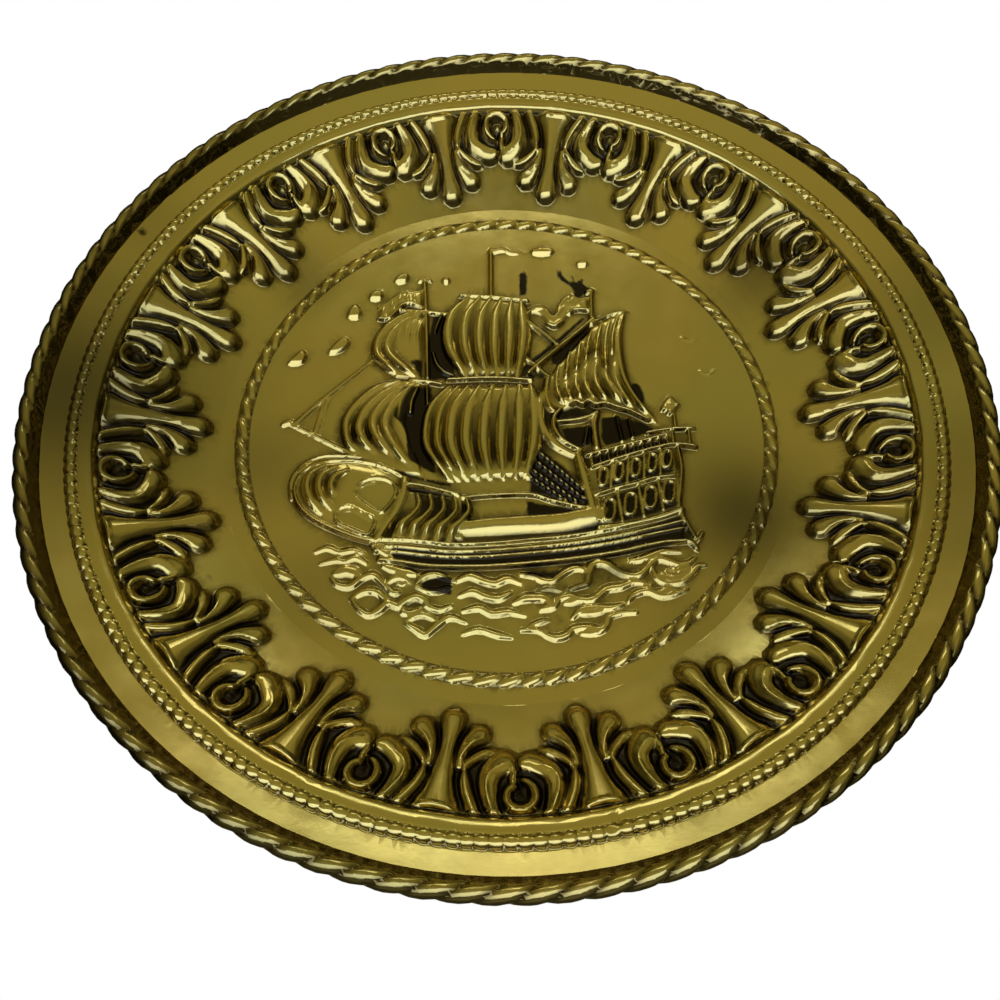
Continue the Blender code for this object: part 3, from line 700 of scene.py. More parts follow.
def add_bow_panels(ship):
    """The two oval panels of the bow."""
    upper = [(-49.4, -27), (-48, -23.2), (-44, -21.2), (-39.6, -21.6), (-36.4, -24), (-36.2, -27.6),
             (-39.4, -32.6), (-41.6, -33.4), (-46, -30.4)]
    lower = [(-55, -34.2), (-53.4, -31.8), (-50.4, -31.4), (-46, -33.8), (-42.4, -35.8), (-42.6, -38.4),
             (-44.4, -41.4), (-50, -39.2), (-54.2, -37)]
    for panel in (upper, lower):
        ship.ridge(closed_curve(panel, 3), 0.9, 3.1, steps=1)
        ship.level(closed_curve(panel), 1.9, 0.6)
    ship.ridge([(-47.6, -24.6), (-45.4, -23), (-42.8, -22.8)], 0.6, 2.7)
    ship.ridge([(-53, -33.2), (-50, -32.8), (-46.4, -34.8), (-43.6, -36.6)], 0.5, 2.7)


def add_stem(ship):
    """The plate of the stem and the folds behind it."""
    stem = [(-33.4, -21), (-33.8, -27), (-36, -33), (-39, -38), (-41.6, -43)]
    ship.ridge(stem, (1.6, 2.0, 1.8, 1.6), (1.8, 2.3, 2.3, 2.1), flat_top)
    ship.ridge([(-34, -22.6), (-28, -23.5), (-21, -25.4), (-16, -27)], 1.0, 2.3)
    ship.pad([(-32, -25), (-14, -28), (-14, -43), (-38, -43)], 0.9, 1.0)
    for shift in range(5):
        x = -29.2 + 4.0 * shift
        z = -26.6 - 0.5 * shift
        curve = [(x, z), (x + 0.8, z - 4), (x - 1.2, z - 7.4), (x - 4.4, z - 10.6), (x - 5.6, z - 14.6)]
        ship.ridge(curve, (0.8, 1.1, 1.2, 1.9, 2.0), (1.9, 2.3, 2.6, 2.7, 1.2), sides=(1.2, 1.0))


GUNWALE_SHIFT = 2.9


def add_hull(ship):
    """The planked hull and the bright band below the rail."""
    top = [(-44, -42.6), (-34, -42.8), (-26, -43.6), (-18, -44.6), (-6, -44.4), (8, -43.2), (20, -42),
           (35, -39.3), (48, -36.3), (56.4, -33.4)]
    keel = [(-40, -50.4), (-34, -51.2), (-26, -52.6), (-18, -53), (-6, -53), (8, -52), (20, -50.8),
            (35, -48.5), (48, -45.5), (56, -45)]
    ship.pad(top + keel[::-1], 0.9, 1.2)
    for share, half in ((0.0, 0.85), (0.3, 0.8), (0.52, 0.7), (0.9, 0.95)):
        ship.ridge(blend_curves(top, keel, share), half, (1.9, 2.3, 2.3, 2.3, 2.0))
    ship.ridge([(-43.2, -44.4), (-38.6, -47.8), (-36, -49)], (0.6, 0.9, 0.6), 1.9)
    band = [(-17, -40.4), (-6, -39.3), (8, -38.3), (18, -37.6), (24, -36.4), (29.4, -35.4)]
    band = [(x, z + GUNWALE_SHIFT) for x, z in band]
    ship.ridge(band, (4.4, 5.2, 5.4, 5.4, 5.2), (1.7, 2.3, 2.0, 2.5, 1.9), sides=(0.25, 1.0))
    ship.ridge([(-15, -28), (-4, -27), (8, -27), (14, -29), (22, -31.2), (28, -32)], 0.8, 1.9)


# Rows of windows as the middle of each, half height and half width; how they lean; the bars between them.
WINDOWS = (
    (((31.6, -20.8), (36.8, -18.8), (42.4, -17.4), (48, -15.6), (53, -14.2)), 3.3, 1.3),
    (((32.8, -32.8), (39.8, -30.8), (46.4, -28.4), (52.6, -26.4)), 3.9, 1.75),
)
WINDOW_LEAN = 8
DIVIDERS = (
    ((33.8, -25), (34.8, -15.6)),
    ((39.2, -23.4), (40.2, -13.8)),
    ((44.9, -21.8), (45.6, -12)),
    ((50.3, -20.4), (51, -10.8)),
    ((35.8, -26), (36.8, -36.8)),
    ((42.8, -24), (43.8, -35.2)),
    ((49.4, -22), (50.2, -33)),
    ((29.2, -28), (30.4, -37)),
)


def window_frame(ship, x, z, half_tall, half_wide, lean):
    """The raised frame of one tall window with rounded corners."""
    turn = np.radians(np.linspace(0, 360, 29))
    along = half_tall * np.sign(np.cos(turn)) * np.abs(np.cos(turn)) ** 0.6
    across = half_wide * np.sign(np.sin(turn)) * np.abs(np.sin(turn)) ** 0.8
    ship.ridge(tilted(x, z, along, across, 90 - lean), 0.62, 2.6, steps=1)


def add_castle(ship):
    """The raised stern with its two rows of windows."""
    side = [(22, -11), (24, -20), (26, -30), (30, -38), (31, -39.5), (40, -38), (48, -35.5), (56.4, -32.4),
            (56, -9), (40, -12.6), (27, -17)]
    ship.pad(side, 0.9, 1.0)
    ship.ridge([(23.5, -12), (25.2, -20), (27.2, -30), (29.2, -36.5)], (1.5, 2.0, 1.8, 1.0), 2.1, flat_top)
    for row, half_tall, half_wide in WINDOWS:
        for x, z in row:
            window_frame(ship, x, z, half_tall, half_wide, WINDOW_LEAN)
    for start, end in DIVIDERS:
        ship.ridge([start, end], 0.65, 2.1)


def add_galleries(ship):
    """Rails, posts and galleries of the stern."""
    ship.ridges(
        ([(28.8, -27.4), (35, -25.3), (42, -23.5), (48, -21.5), (55, -20.6)], 0.85, 2.5),
        ([(29, -39.0), (40, -37.8), (48, -35.6), (56.4, -32.6)], 0.85, 2.4),
        ([(28, -17.2), (35, -14.6), (42, -12.2), (50, -9.8), (56.4, -8.6), (63, -9.5)], 0.85, 2.5),
        ([(26.5, -12.4), (40, -8.6), (54, -4.6)], 0.7, 2.1),
    )
    for post in range(10):
        x = 28.0 + 2.85 * post
        z = -12.2 + 0.8 * post
        ship.ridge([(x, z + 0.6), (x + 0.2, z - 4.2 + 0.1 * post)], 0.5, 1.9)
    ship.ridge([(47, -4), (52, -3), (57, -2.4), (63, -2.3)], 0.8, 2.0)
    for x in (55.5, 61):
        ship.ridge([(x, -2.6), (x + 0.2, -8.8)], 0.7, 1.7)
    ship.ridges(
        ([(56.8, -9), (57.4, -17), (56.4, -25), (55.4, -32), (57.4, -38), (59.6, -43)],
         (0.9, 1.0, 0.9, 1.0, 0.8), 1.9),
        ([(56, -43.4), (58.4, -44.6), (59.8, -46.8)], (0.6, 1.1, 0.8), 1.8),
        ([(62, -41), (60.6, -44)], 0.8, 1.5),
    )


def add_lantern(ship):
    """The stern's lantern, and the posts between deck and sail."""
    lantern = [(52.4, 6.6), (54.4, 9.4), (56, 11.4), (58.6, 8.4), (58.2, 5.6), (56.6, 3.2), (53.6, 4.6)]
    ship.pad(lantern, 1.3, 1.2)
    for place in ((53.2, 5.2), (55.6, 6.8), (55.2, 3.8), (58, 6.8)):
        ship.ridge([place, (place[0] + 0.5, place[1] + 0.4)], 0.9, 2.0)
    ship.ridges(
        ([(56.8, 3.2), (56.9, -2.4)], 0.7, 1.3),
        ([(27.4, -1.5), (26.2, -7.5)], 0.8, 1.4),
        ([(31, 4), (29.6, -1), (30, -9.4)], (0.9, 1.3, 1.5), 2.0),
        ([(37.4, 2.5), (38.7, -7)], 0.7, 1.4),
        ([(41.4, 1.5), (42.4, -5.6)], 0.7, 1.4),
    )


# Head, foot and number of knots of each shroud.
SHROUDS = (
    ((4, -4), (26, -26.5), 15),
    ((4, -9), (24.5, -28.2), 13),
    ((4, -14), (22, -29), 11),
    ((6, -19), (19, -29), 8),
)


def add_shrouds(ship):
    """Ropes of small knots that run down to the stern."""
    for start, end, knots in SHROUDS:
        start, end = np.array(start, dtype=float), np.array(end, dtype=float)
        for knot in range(knots):
            x, z = start + (end - start) * knot / (knots - 1)
            ship.ridge([(x - 0.4, z + 0.3), (x + 0.3, z - 0.4)], 0.85, 1.8, steps=1)


WAVES = (
    # curve, half width, lift
    ([(-61, -46.9), (-57, -45.4), (-53, -47), (-49, -46.2), (-45, -47.6)], 0.9, 1.5),
    ([(-59, -50.8), (-54, -49.6), (-51, -50.1), (-48, -48.8), (-44, -51)], 0.9, 1.6),
    ([(-39, -51.8), (-34, -53.6), (-28.4, -54.8)], 1.2, 1.8),
    ([(-54, -54.4), (-50.4, -53.4), (-46.4, -54.8)], 1.6, 1.9),
    ([(-55, -56), (-53, -58), (-49, -58.6), (-45.4, -55.8), (-42, -54.8), (-39.4, -57.2), (-36.8, -60.2)],
     1.0, 2.0),
    ([(-38.2, -58.2), (-36, -56.2), (-33, -55.8), (-30.4, -57.4)], 0.8, 1.7),
    ([(-37.4, -58.8), (-35.6, -61), (-33.4, -60.4)], 0.9, 1.9),
    ([(-34.4, -57.8), (-31.6, -57.9)], 0.8, 1.6),
    ([(-48.4, -62.8), (-45, -60.4), (-41, -60.4), (-38, -62.8), (-37, -64.2)], 1.0, 1.9),
    ([(-48, -63.4), (-45.4, -66.6), (-42.6, -68), (-39.6, -66.6), (-37, -64.2), (-34, -65.2), (-31.4, -63.4),
      (-28.6, -62.2), (-26, -63.2), (-24.4, -65.6), (-21, -66.6), (-17.4, -65.2)], 1.1, 2.1),
    ([(-33, -65.6), (-32, -67.4), (-29.4, -67.6), (-26.6, -66)], 1.0, 1.9),
    ([(-31.6, -70.4), (-28.4, -68.4), (-25, -68.2), (-21.6, -70.4)], 0.9, 1.7),
    ([(-31, -71), (-28, -73), (-25.4, -74.6), (-22.4, -72.2), (-18, -69), (-13, -70.6)], 1.0, 1.9),
    ([(-28.6, -58), (-26, -55.4), (-22, -54.8), (-17.6, -56.8)], 0.9, 1.9),
    ([(-28.4, -58.8), (-25, -60.4), (-21, -60.2), (-17.6, -58.8)], 0.9, 1.9),
    ([(37.5, -50.5), (41, -50.4), (45, -49), (49, -47.5), (54.6, -47.7)], 0.9, 1.6),
    ([(4, -55), (8, -55.6), (11, -57.1), (14, -57.3), (17, -55), (20, -53.3), (23, -53.2), (25, -55)],
     1.0, 1.9),
    ([(19.4, -60), (22.6, -59), (24.8, -58), (25.6, -54.4), (27.2, -51.6), (30.6, -51.6), (34.4, -54.2),
      (38, -55.6), (41.6, -55.2), (45, -51.6), (47.6, -50), (51, -51), (54, -52.2), (57, -51.4),
      (59, -49.8)],
     1.1, 2.1),
    ([(45, -53), (46, -55.8), (49, -58.2), (54, -57.8), (57.8, -55), (59.6, -52.6), (62, -52.2)], 1.0, 1.9),
    ([(47.6, -55.2), (51, -56.4), (55, -55.6), (58, -53)], 0.8, 1.5),
    ([(50, -54), (53.6, -54), (57, -52.6)], 0.8, 1.7),
    ([(14.4, -65.8), (16, -63.2), (19, -62.5), (22, -63.6), (26, -63.6), (29, -61.4), (31, -60), (35, -59.4),
      (39, -57.9), (44.4, -58.7)], 1.1, 2.0),
    ([(17, -64.6), (20, -64.4), (22, -64)], 0.8, 1.6),
    ([(37, -64.2), (39, -62), (43, -60.8), (47, -62.4), (51, -62), (55.6, -60.2)], 1.0, 1.9),
    ([(44.6, -61.6), (48, -60.6), (52, -60.4)], 0.7, 1.5),
    ([(2, -64.4), (5, -63), (8.4, -62.8), (11.4, -63.2), (12.6, -65.4), (10, -66.4)], 1.3, 2.0),
    ([(19.6, -69.4), (22.6, -66.8), (27, -66.2), (31, -66.4), (35.4, -65.2)], 1.0, 1.9),
    ([(21.6, -68.2), (25, -68), (29, -67.6)], 0.8, 1.6),
    ([(6, -72.4), (9, -71), (12.4, -70)], 0.8, 1.6),
    ([(4, -73.2), (9, -73.4), (12, -75.2), (15, -75.9), (18, -74.8), (20, -73), (24, -72.6), (28, -73.4),
      (30, -71.6), (31, -69.2), (35, -68), (39.4, -67.8)], 1.0, 1.9),
    ([(21.6, -74.4), (25, -74.6), (28, -74.4)], 0.7, 1.5),
    ([(8.6, -60.6), (13, -59.6), (18, -61)], 0.8, 1.4),
    ([(-16, -57), (-12, -55.4), (-8, -57), (-4, -58), (0, -56.4), (4, -58)], 1.1, 1.9),
    ([(-15, -62), (-11, -60.6), (-7, -62.4), (-3, -63), (1, -61)], 1.1, 1.9),
    ([(-14, -67), (-9, -66), (-5, -68), (0, -67.4), (5, -68.6)], 1.0, 1.8),
    ([(-14, -74.4), (-9, -73), (-4, -74.6), (1, -75.6)], 0.9, 1.6),
)


WAVE_LIFT = 0.62


def add_sea(ship):
    """Crests and curls of the waves."""
    for curve, half, lift in WAVES:
        widths = (half * 0.55, half, half, half, half * 0.5)
        lift = lift * WAVE_LIFT
        ship.ridge(curve, widths, (lift * 0.8, lift, lift, lift * 0.8), steps=4, sides=(1.7, 1.1))


def make_ship():
    """The map of the ship's field."""
    ship = HeightMap((-SHIP_REACH, -SHIP_REACH), (SHIP_REACH, SHIP_REACH), SHIP_STEP)
    for part in (
        add_sky, add_stays, add_mainmast,
        add_foremast, add_flag, add_fore_topsail, add_fore_course,
        add_mizzenmast, add_pennant, add_lateen, add_sail_foot,
        add_hull, add_bow, add_bow_panels, add_stem,
        add_castle, add_galleries, add_lantern, add_shrouds, add_sea,
    ):
        part(ship)
    ship.height *= SHIP_LIFT
    return ship


# Places of the ship's field that are dark, and how dark: patina left on purpose, and painted shadow beside
# the folds and under the sails and rails.
DARK_PLACES = (
    ([(18.4, 66.2), (21.2, 67), (21.6, 64), (24.2, 61), (24.2, 64.6), (25.4, 64.8), (26, 61), (28.6, 63.2),
      (29.6, 62), (28.6, 60), (31.4, 58.4), (33.2, 56.2), (32.6, 54.6), (29, 54.6), (27, 52.8), (25, 53.4),
      (24.6, 56), (24, 58.6), (21, 60.8), (19, 63)], 1.0, 1.0),
    ([(5, 66), (8.2, 66), (8.8, 60), (8.2, 55), (5, 54)], 1.0, 1.0),
    ([(-27.4, 18), (-17, 18), (-18.5, 33), (-17.4, 46), (-26, 46), (-27.8, 34)], 1.0, 1.0),
    ([(-30, 18.4), (-34, 25.6), (-33, 27), (-28.6, 27), (-28, 19)], 0.8, 1.0),
    ([(-33, -14), (-23, -19.6), (-24.4, 0), (-24.8, 15.6), (-35.6, 15.6), (-39, 9), (-38.6, 3), (-35.6, 0),
      (-34, -4)],
     1.0, 1.0),
    ([(-44, -16), (-36, -19.4), (-18, -24.6), (-17, -22), (-27, -20), (-34, -17.6)], 0.9, 1.0),
    ([(15.4, 24), (19, 24), (23, 30), (28, 35), (30.6, 39.6), (27, 40.4), (21, 32.4), (16, 28)], 1.0, 1.0),
    ([(8.6, 24), (11, 25.6), (19.4, 33.4), (29, 44), (28.4, 46), (26, 43.6), (18, 35.4), (8.6, 26.6)],
     1.0, 1.0),
    ([(7, 45.6), (7, 42.6), (16.6, 33.6), (18.4, 34.6)], 0.9, 1.0),
    ([(7, 18.2), (13, 18.2), (14, 20.6), (7, 21)], 1.0, 1.0),
    ([(11, 8), (12.4, 12), (14, 16), (14.6, 12), (13, 6), (12, 0), (10.8, 2)], 0.8, 1.0),
    ([(17.8, -1.4), (22, -0.8), (29.4, -0.4), (29, -8), (24.6, -9.6), (20, -7)], 1.0, 1.0),
    ([(20, 6.6), (24, 7), (31, 5.6), (40, 4.4), (31, 3.4), (26, 1.6), (18.4, 1.6), (18, 4)], 0.75, 1.0),
    ([(31.8, 2.8), (38, 3.4), (45, 1.4), (52, -2.6), (45, -5), (40, -7), (33, -9), (31.4, -6)], 1.0, 1.0),
    ([(45.2, 17.2), (47.2, 14.6), (47.8, 11), (47.4, 6.8), (44.4, 9.2), (42.4, 13), (42.6, 15.6)], 1.0, 1.0),
    ([(46, 18.4), (47.2, 18.4), (47.2, 17), (46, 17)], 0.8, 1.0),
    ([(49, 14.6), (50.1, 14.6), (50.1, 13.4), (49, 13.4)], 0.8, 1.0),
    ([(7, -5), (12, -9), (20, -17), (27, -27), (27, -31), (20, -30.2), (12, -27.2), (7, -26)], 0.9, 1.0),
    ([(6, -28.4), (14, -30.4), (22, -32), (27, -32.4), (20, -34.4), (6, -35)], 1.0, 1.0),
    ([(-31, -25), (-17, -27.6), (-17, -36), (-26, -36), (-30, -33)], 0.75, 1.0),
    ([(-37, -44), (-18, -46), (8, -44.6), (22, -43), (40, -39.8), (56, -34.6), (57, -44.4), (48, -46.4),
      (35, -49.4), (20, -51.6), (8, -53), (-18, -53.8), (-30, -53), (-37, -50)], 0.9, 1.0),
    ([(27.6, -12.6), (54, -5.6), (56, -8.2), (42, -11.8), (28.4, -16.6)], 0.8, 1.0),
    ([(28.4, -18), (42, -13), (55.6, -9.6), (55.4, -19.6), (42, -22.6), (29.6, -26.4)], 0.8, 1.0),
    ([(29.8, -28.6), (42, -24.4), (55, -21.4), (55.6, -32), (42, -36.6), (31, -38.2)], 0.8, 1.0),
    ([(55.6, -33.6), (58.6, -38), (60.4, -43), (57.4, -42.6), (55.6, -39)], 0.7, 1.0),
    ([(-27.6, -59.6), (-24, -61), (-17, -62), (-17, -54.8), (-24, -55.6), (-27.4, -57)], 0.9, 1.0),
    ([(4, -52), (19, -52.6), (15, -57.6), (4, -56.4)], 0.8, 2.4),
    ([(4, -57), (22, -56), (26, -51), (42, -49.6), (42, -55.6), (30, -60), (20, -63), (4, -64)], 0.55, 3.0),
    ([(4, -71), (11, -65.6), (18, -66), (20, -72), (12, -74.6)], 0.45, 3.0),
    ([(-44.8, -23.4), (-42.4, -25.4), (-42.6, -27), (-40.6, -27), (-39, -29), (-36.8, -28), (-36.2, -25),
      (-40, -22.8)], 1.0, 1.0),
    ([(-44, -18.4), (-37, -19.8), (-35.8, -22.6), (-40, -20.6), (-44.6, -20.2)], 0.9, 1.0),
    ([(-52.4, 41), (-51.4, 41), (-49.4, 45), (-50.2, 45.2)], 0.7, 1.0),
)


def make_patina_and_shadow():
    """How dark the ship's field is, from 0 to 1: dark patina, and painted shadow beside the folds and under
    the sails and rails.
    """
    patina = HeightMap((-SHIP_REACH, -SHIP_REACH), (SHIP_REACH, SHIP_REACH), SHIP_STEP)
    for outline, share, edge in DARK_PLACES:
        patina.pad(outline, share, edge)
    return patina


# ------------------------------------------------------------------ the surfaces

# Patches that have become dull: x, z, reach, share.
TARNISHED = (
    (76, -34, 24, 0.95),
    (-82, -14, 20, 0.45),
    (-60, -60, 18, 0.3),
    (58, -68, 16, 0.3),
    (92, 60, 16, 0.75),
    (-74, 63, 13, 0.5),
    (-143, 2, 44, 1.0),
    (-143, -48, 20, 0.4),
    (-139, 38, 22, 0.5),
    (-128, 70, 20, 0.3),
    (143, -36, 36, 0.5),
    (144, 30, 26, 0.35),
)

# Small dark spots on the border's ground and on the band: radius, angle, reach, share.
SPOTS = (
    (109.3, 208.2, 1.6, 0.42),
    (108.2, 212.1, 2.0, 0.45),
    (100.5, 306.2, 0.7, 0.6),
    (143.7, 152.0, 1.9, 0.75),
)

# One knock across the beads and the shoulder, as its deepest places: radius, angle, reach, depth.
DENTS = (
    (136.8, 280.8, 1.3, 0.5),
    (134.5, 281.7, 1.4, 0.6),
    (132.0, 282.3, 1.2, 0.5),
)

# A painted shade line in the crease under the shoulder: radius, half width, share.
SHOULDER_SHADE_LINE = (130.1, 0.55, 0.75)


def turned_profile():
    """Radii and smoothed heights of the plain turned front."""
    fine = np.arange(0.0, PROFILE[-1][0], PROFILE_STEP)
    plain = np.interp(fine, *zip(*PROFILE))
    both = []
    for bend in (INNER_BEND, OUTER_BEND):
        half = max(1, int(4 * bend / PROFILE_STEP))
        weights = np.exp(-0.5 * (np.arange(-half, half + 1) * PROFILE_STEP / bend) ** 2)
        ends = np.concatenate([plain[half:0:-1], plain, 2 * plain[-1] - plain[-2:-half - 2:-1]])
        both.append(np.convolve(ends, weights / weights.sum(), mode="valid"))
    outer = np.clip((fine - BEND_CHANGE[0]) / (BEND_CHANGE[1] - BEND_CHANGE[0]), 0, 1)
    return fine, both[0] * (1 - outer) + both[1] * outer


def inner_rope(x, z):
    """Rise of the low rope round the ship."""
    radius = np.hypot(x, z)
    turn = np.arctan2(z, x)
    rise = np.zeros_like(radius)
    near = np.abs(radius - ROPE_RADIUS) < ROPE_REACH
    across = radius[near] - ROPE_RADIUS
    pitch = math.tau / ROPE_STRANDS
    tilt = math.radians(ROPE_TILT)
    wobble = 0.12 * np.sin(5 * turn[near] + 1.0) + 0.08 * np.sin(13 * turn[near])
    strand = np.round(turn[near] / pitch + wobble)
    best = ROPE_BED_LIFT * np.clip(1 - (across / ROPE_BED_HALF) ** 2, 0, 1)
    for shift in (-1, 0, 1):
        run = (turn[near] + (wobble - strand - shift) * pitch) * ROPE_RADIUS
        long = -run * math.cos(tilt) + across * math.sin(tilt)
        wide = run * math.sin(tilt) + across * math.cos(tilt)
        place = (long / ROPE_HALVES[0]) ** 2 + (wide / ROPE_HALVES[1]) ** 2
        best = np.maximum(best, ROPE_LIFT * np.clip(1 - place, 0, 1) ** 0.8)
    rise[near] = best
    return rise


def beads(x, z):
    """Rise of the row of beads."""
    radius = np.hypot(x, z)
    rise = np.zeros_like(radius)
    near = np.abs(radius - BEAD_RADIUS) < BEAD_HALF
    pitch = math.tau / BEADS
    turn = np.arctan2(z[near], x[near]) / pitch
    along = 2 * (turn - np.round(turn))
    half = BEAD_NECK + (BEAD_HALF - BEAD_NECK) * np.sqrt(1 - along**2)
    deep = np.clip(np.abs(radius[near] - BEAD_RADIUS) / half, 0, 1)
    rise[near] = BEAD_LIFT * (1 - deep**2) ** 0.6 * (1 - 0.25 * along**2)
    return rise


def row_shade(x, z):
    """Painted shade at the foot of the beads, most on their outer side, and at the foot of the inner rope,
    from 0 to 1.
    """
    radius = np.hypot(x, z)
    out = radius - BEAD_RADIUS
    low = np.clip((0.8 - beads(x, z) / BEAD_LIFT) / 0.3, 0, 1)
    shade = low * np.clip((BEAD_HALF + 0.2 - np.abs(out)) / 0.3, 0, 1) * np.where(out > 0, 1.0, 0.45)
    across = np.abs(radius - ROPE_RADIUS)
    low = np.clip((0.5 - inner_rope(x, z) / ROPE_LIFT) / 0.35, 0, 1)
    return np.maximum(shade, low * np.clip((2.9 - across) / 0.7, 0, 1))


def make_eye_shade(border):
    """The painted shade in the hollow eyes of the scrolls, in the border's map."""
    eyes = HeightMap(border.low, border.low + (border.shape - 1) * border.step, border.step)
    for turn in (-HALF_REPEAT, HALF_REPEAT):
        eyes.ridge([polar(122.6, turn), polar(124.6, turn)], (1.6, 2.6), 1.0, steps=1)
    return eyes


class Surface:
    """The plaque's front and back as heights over the plan."""

    def __init__(self):
        self.ship = make_ship()
        self.border = make_border()
        self.patina = make_patina_and_shadow()
        self.eyes = make_eye_shade(self.border)
        self.profile = turned_profile()
        # how much painted shade lies in the eyes of each repeat: more towards the bottom of the ring, varied
        # at random
        chance = np.random.default_rng(SEED).uniform(-0.25, 0.25, REPEATS)
        angles = np.radians(HALF_REPEAT + PALMETTE_TURN + 2 * HALF_REPEAT * np.arange(REPEATS))
        self.eye_shade_shares = np.clip(0.6 - 0.5 * np.sin(angles) + chance, 0.1, 1.0)
        self.front_maps = [blurred(part.height, SOFTEN / part.step) for part in (self.ship, self.border)]
        self.back_maps = []
        self.near_maps = []
        self.gap_maps = []
        for part, front in zip((self.ship, self.border), self.front_maps):
            shrunk = worn_in(front, int(BACK_SHRINK / part.step))
            self.back_maps.append(blurred(shrunk, BACK_SOFTEN / part.step))
            self.near_maps.append(blurred(front, NEAR_REACH / part.step))
            gaps = bridged(front, int(GAP_REACH / part.step)) - front
            self.gap_maps.append(blurred(gaps, GAP_SOFTEN / part.step))
        # the ship's patina and painted shadow, softened
        self.dark = blurred(self.patina.height, PATINA_SOFTEN / self.patina.step)

    def folded(self, x, z):
        """A plan position moved into the one repeat of the border that is mapped."""
        radius = np.hypot(x, z)
        turn = np.degrees(np.arctan2(z, x)) - PALMETTE_TURN
        local = np.radians((turn + HALF_REPEAT) % (2 * HALF_REPEAT) - HALF_REPEAT)
        return radius * np.cos(local), radius * np.sin(local)

    def mapped(self, maps, x, z):
        """Values of a pair of maps, the ship's and the border's, at plan positions."""
        radius = np.hypot(x, z)
        values = np.where(radius < SHIP_REACH, self.ship.at(x, z, maps[0]), 0.0)
        along, side = self.folded(x, z)
        inner, outer = BORDER_REACH
        edge = np.clip((outer - radius) / 0.9, 0, 1) * np.clip((radius - inner) / 2.0, 0, 1)
        return values + np.where(radius > inner, self.border.at(along, side, maps[1]) * edge, 0.0)

    def base(self, x, z):
        """Height of the turned front, with its uneven shoulder and the knock."""
        radius = np.hypot(x, z)
        turn = np.arctan2(z, x)
        uneven = 0.07 * np.sin(37 * turn + 2.0) + 0.06 * np.sin(61 * turn) + 0.05 * np.sin(17 * turn)
        inside = np.minimum(radius - SHOULDER[0], SHOULDER[1] - radius)
        height = np.interp(radius + uneven * np.clip(inside / SHOULDER_FADE, 0, 1), *self.profile)
        for away, angle, reach, depth in DENTS:
            height = height - depth * np.exp(-away_from(x, z, polar(away, angle), reach))
        return height

    def relief(self, x, z):
        """Rise of everything raised from the turned front."""
        return self.mapped(self.front_maps, x, z) + inner_rope(x, z) + beads(x, z)

    def front(self, x, z):
        """Height of the front."""
        return self.base(x, z) + self.relief(x, z)

    def back(self, x, z):
        """Height of the back, pressed out behind the relief."""
        hollow = self.mapped(self.back_maps, x, z)
        slope = (self.base(x * 1.001, z * 1.001) - self.base(x * 0.999, z * 0.999)) / (
            0.002 * np.maximum(np.hypot(x, z), 1.0))
        thick = SHEET * np.sqrt(1 + slope**2)
        return np.maximum(self.base(x, z) - thick + hollow, 0.0)

    def hollows(self, x, z):
        """How far each place lies below the mean of its neighbourhood, with painted shade at the foot of the
        beads and the inner rope added.
        """
        hollow = self.mapped(self.near_maps, x, z) - self.mapped(self.front_maps, x, z)
        return hollow + 0.5 * row_shade(x, z)

    def gaps(self, x, z):
        """How deep each place lies in a narrow gap."""
        return self.mapped(self.gap_maps, x, z)

    def stains_and_shade(self, x, z):
        """Dark places of the ship's field, partly patina and partly painted shadow, the painted shade under
        the shoulder and in the scrolls' eyes, and the spots.
        """
        radius = np.hypot(x, z)
        # painted shade along the crease under the shoulder
        middle, half, share = SHOULDER_SHADE_LINE
        line = share * np.exp(-((radius - middle) / half) ** 2)
        turn = np.degrees(np.arctan2(z, x)) - PALMETTE_TURN
        repeat = np.floor(turn / (2 * HALF_REPEAT)).astype(int) % REPEATS
        spots = np.zeros_like(radius)
        for away, angle, reach, share in SPOTS:
            spots = np.maximum(spots, share * np.exp(-(away_from(x, z, polar(away, angle), reach) ** 2)))
        line = np.maximum(line, spots)
        # painted shade in the scrolls' eyes
        eye = self.border.at(*self.folded(x, z), self.eyes.height) * self.eye_shade_shares[repeat]
        return np.where(radius < 90, self.ship.at(x, z, self.dark), np.maximum(line, eye * (radius > 100)))

    def tarnish(self, x, z):
        """How dull each place has become, from 0 to 1."""
        dull = np.zeros_like(x)
        for middle_x, middle_z, reach, share in TARNISHED:
            dull = np.maximum(dull, share * np.exp(-away_from(x, z, (middle_x, middle_z), reach)))
        return dull

    def shade(self, x, z):
        """Roughly how dark each place is, from 0 to 1."""
        return np.clip(np.maximum((self.gaps(x, z) - 0.4) / 0.8, self.stains_and_shade(x, z)), 0, 1)


def rim_reach(swing):
    """Radius of the rim's roll at an angle round its tube, before the rope is pressed into it."""
    return np.interp(swing, *zip(*RIM_REACH))


def rim_tube(turn, swing):
    """Radius of the rim rope's tube at an angle round the plaque and one round the tube, in degrees."""
    wander = 0.16 * np.sin(np.radians(3 * turn) + 1.0) + 0.12 * np.sin(np.radians(7 * turn))
    phase = RIM_STRANDS * (turn + wander) / 360.0 - RIM_PITCHES * swing / 180.0
    place = 2 * (phase - np.floor(phase)) - 1
    groove = RIM_GROOVE * np.abs(place) ** 2.2
    shown = np.clip((swing + 80.0) / 40.0, 0, 1) * np.clip((145.0 - swing) / 25.0, 0, 1)
    return rim_reach(swing) - groove * shown


def rim_swing(points):
    """The angle of each point round the rim's roll, in degrees."""
    x, y, z = points.T
    swing = np.degrees(np.arctan2(-y - RIM_HEIGHT, np.hypot(x, z) - RIM_RADIUS))
    return np.where(swing < -90, swing + 360, swing)


def rim_foot():
    """Radius at which the rim's roll rises from the sheet."""
    return RIM_RADIUS + float(rim_reach(RIM_FOOT)) * math.cos(math.radians(RIM_FOOT))


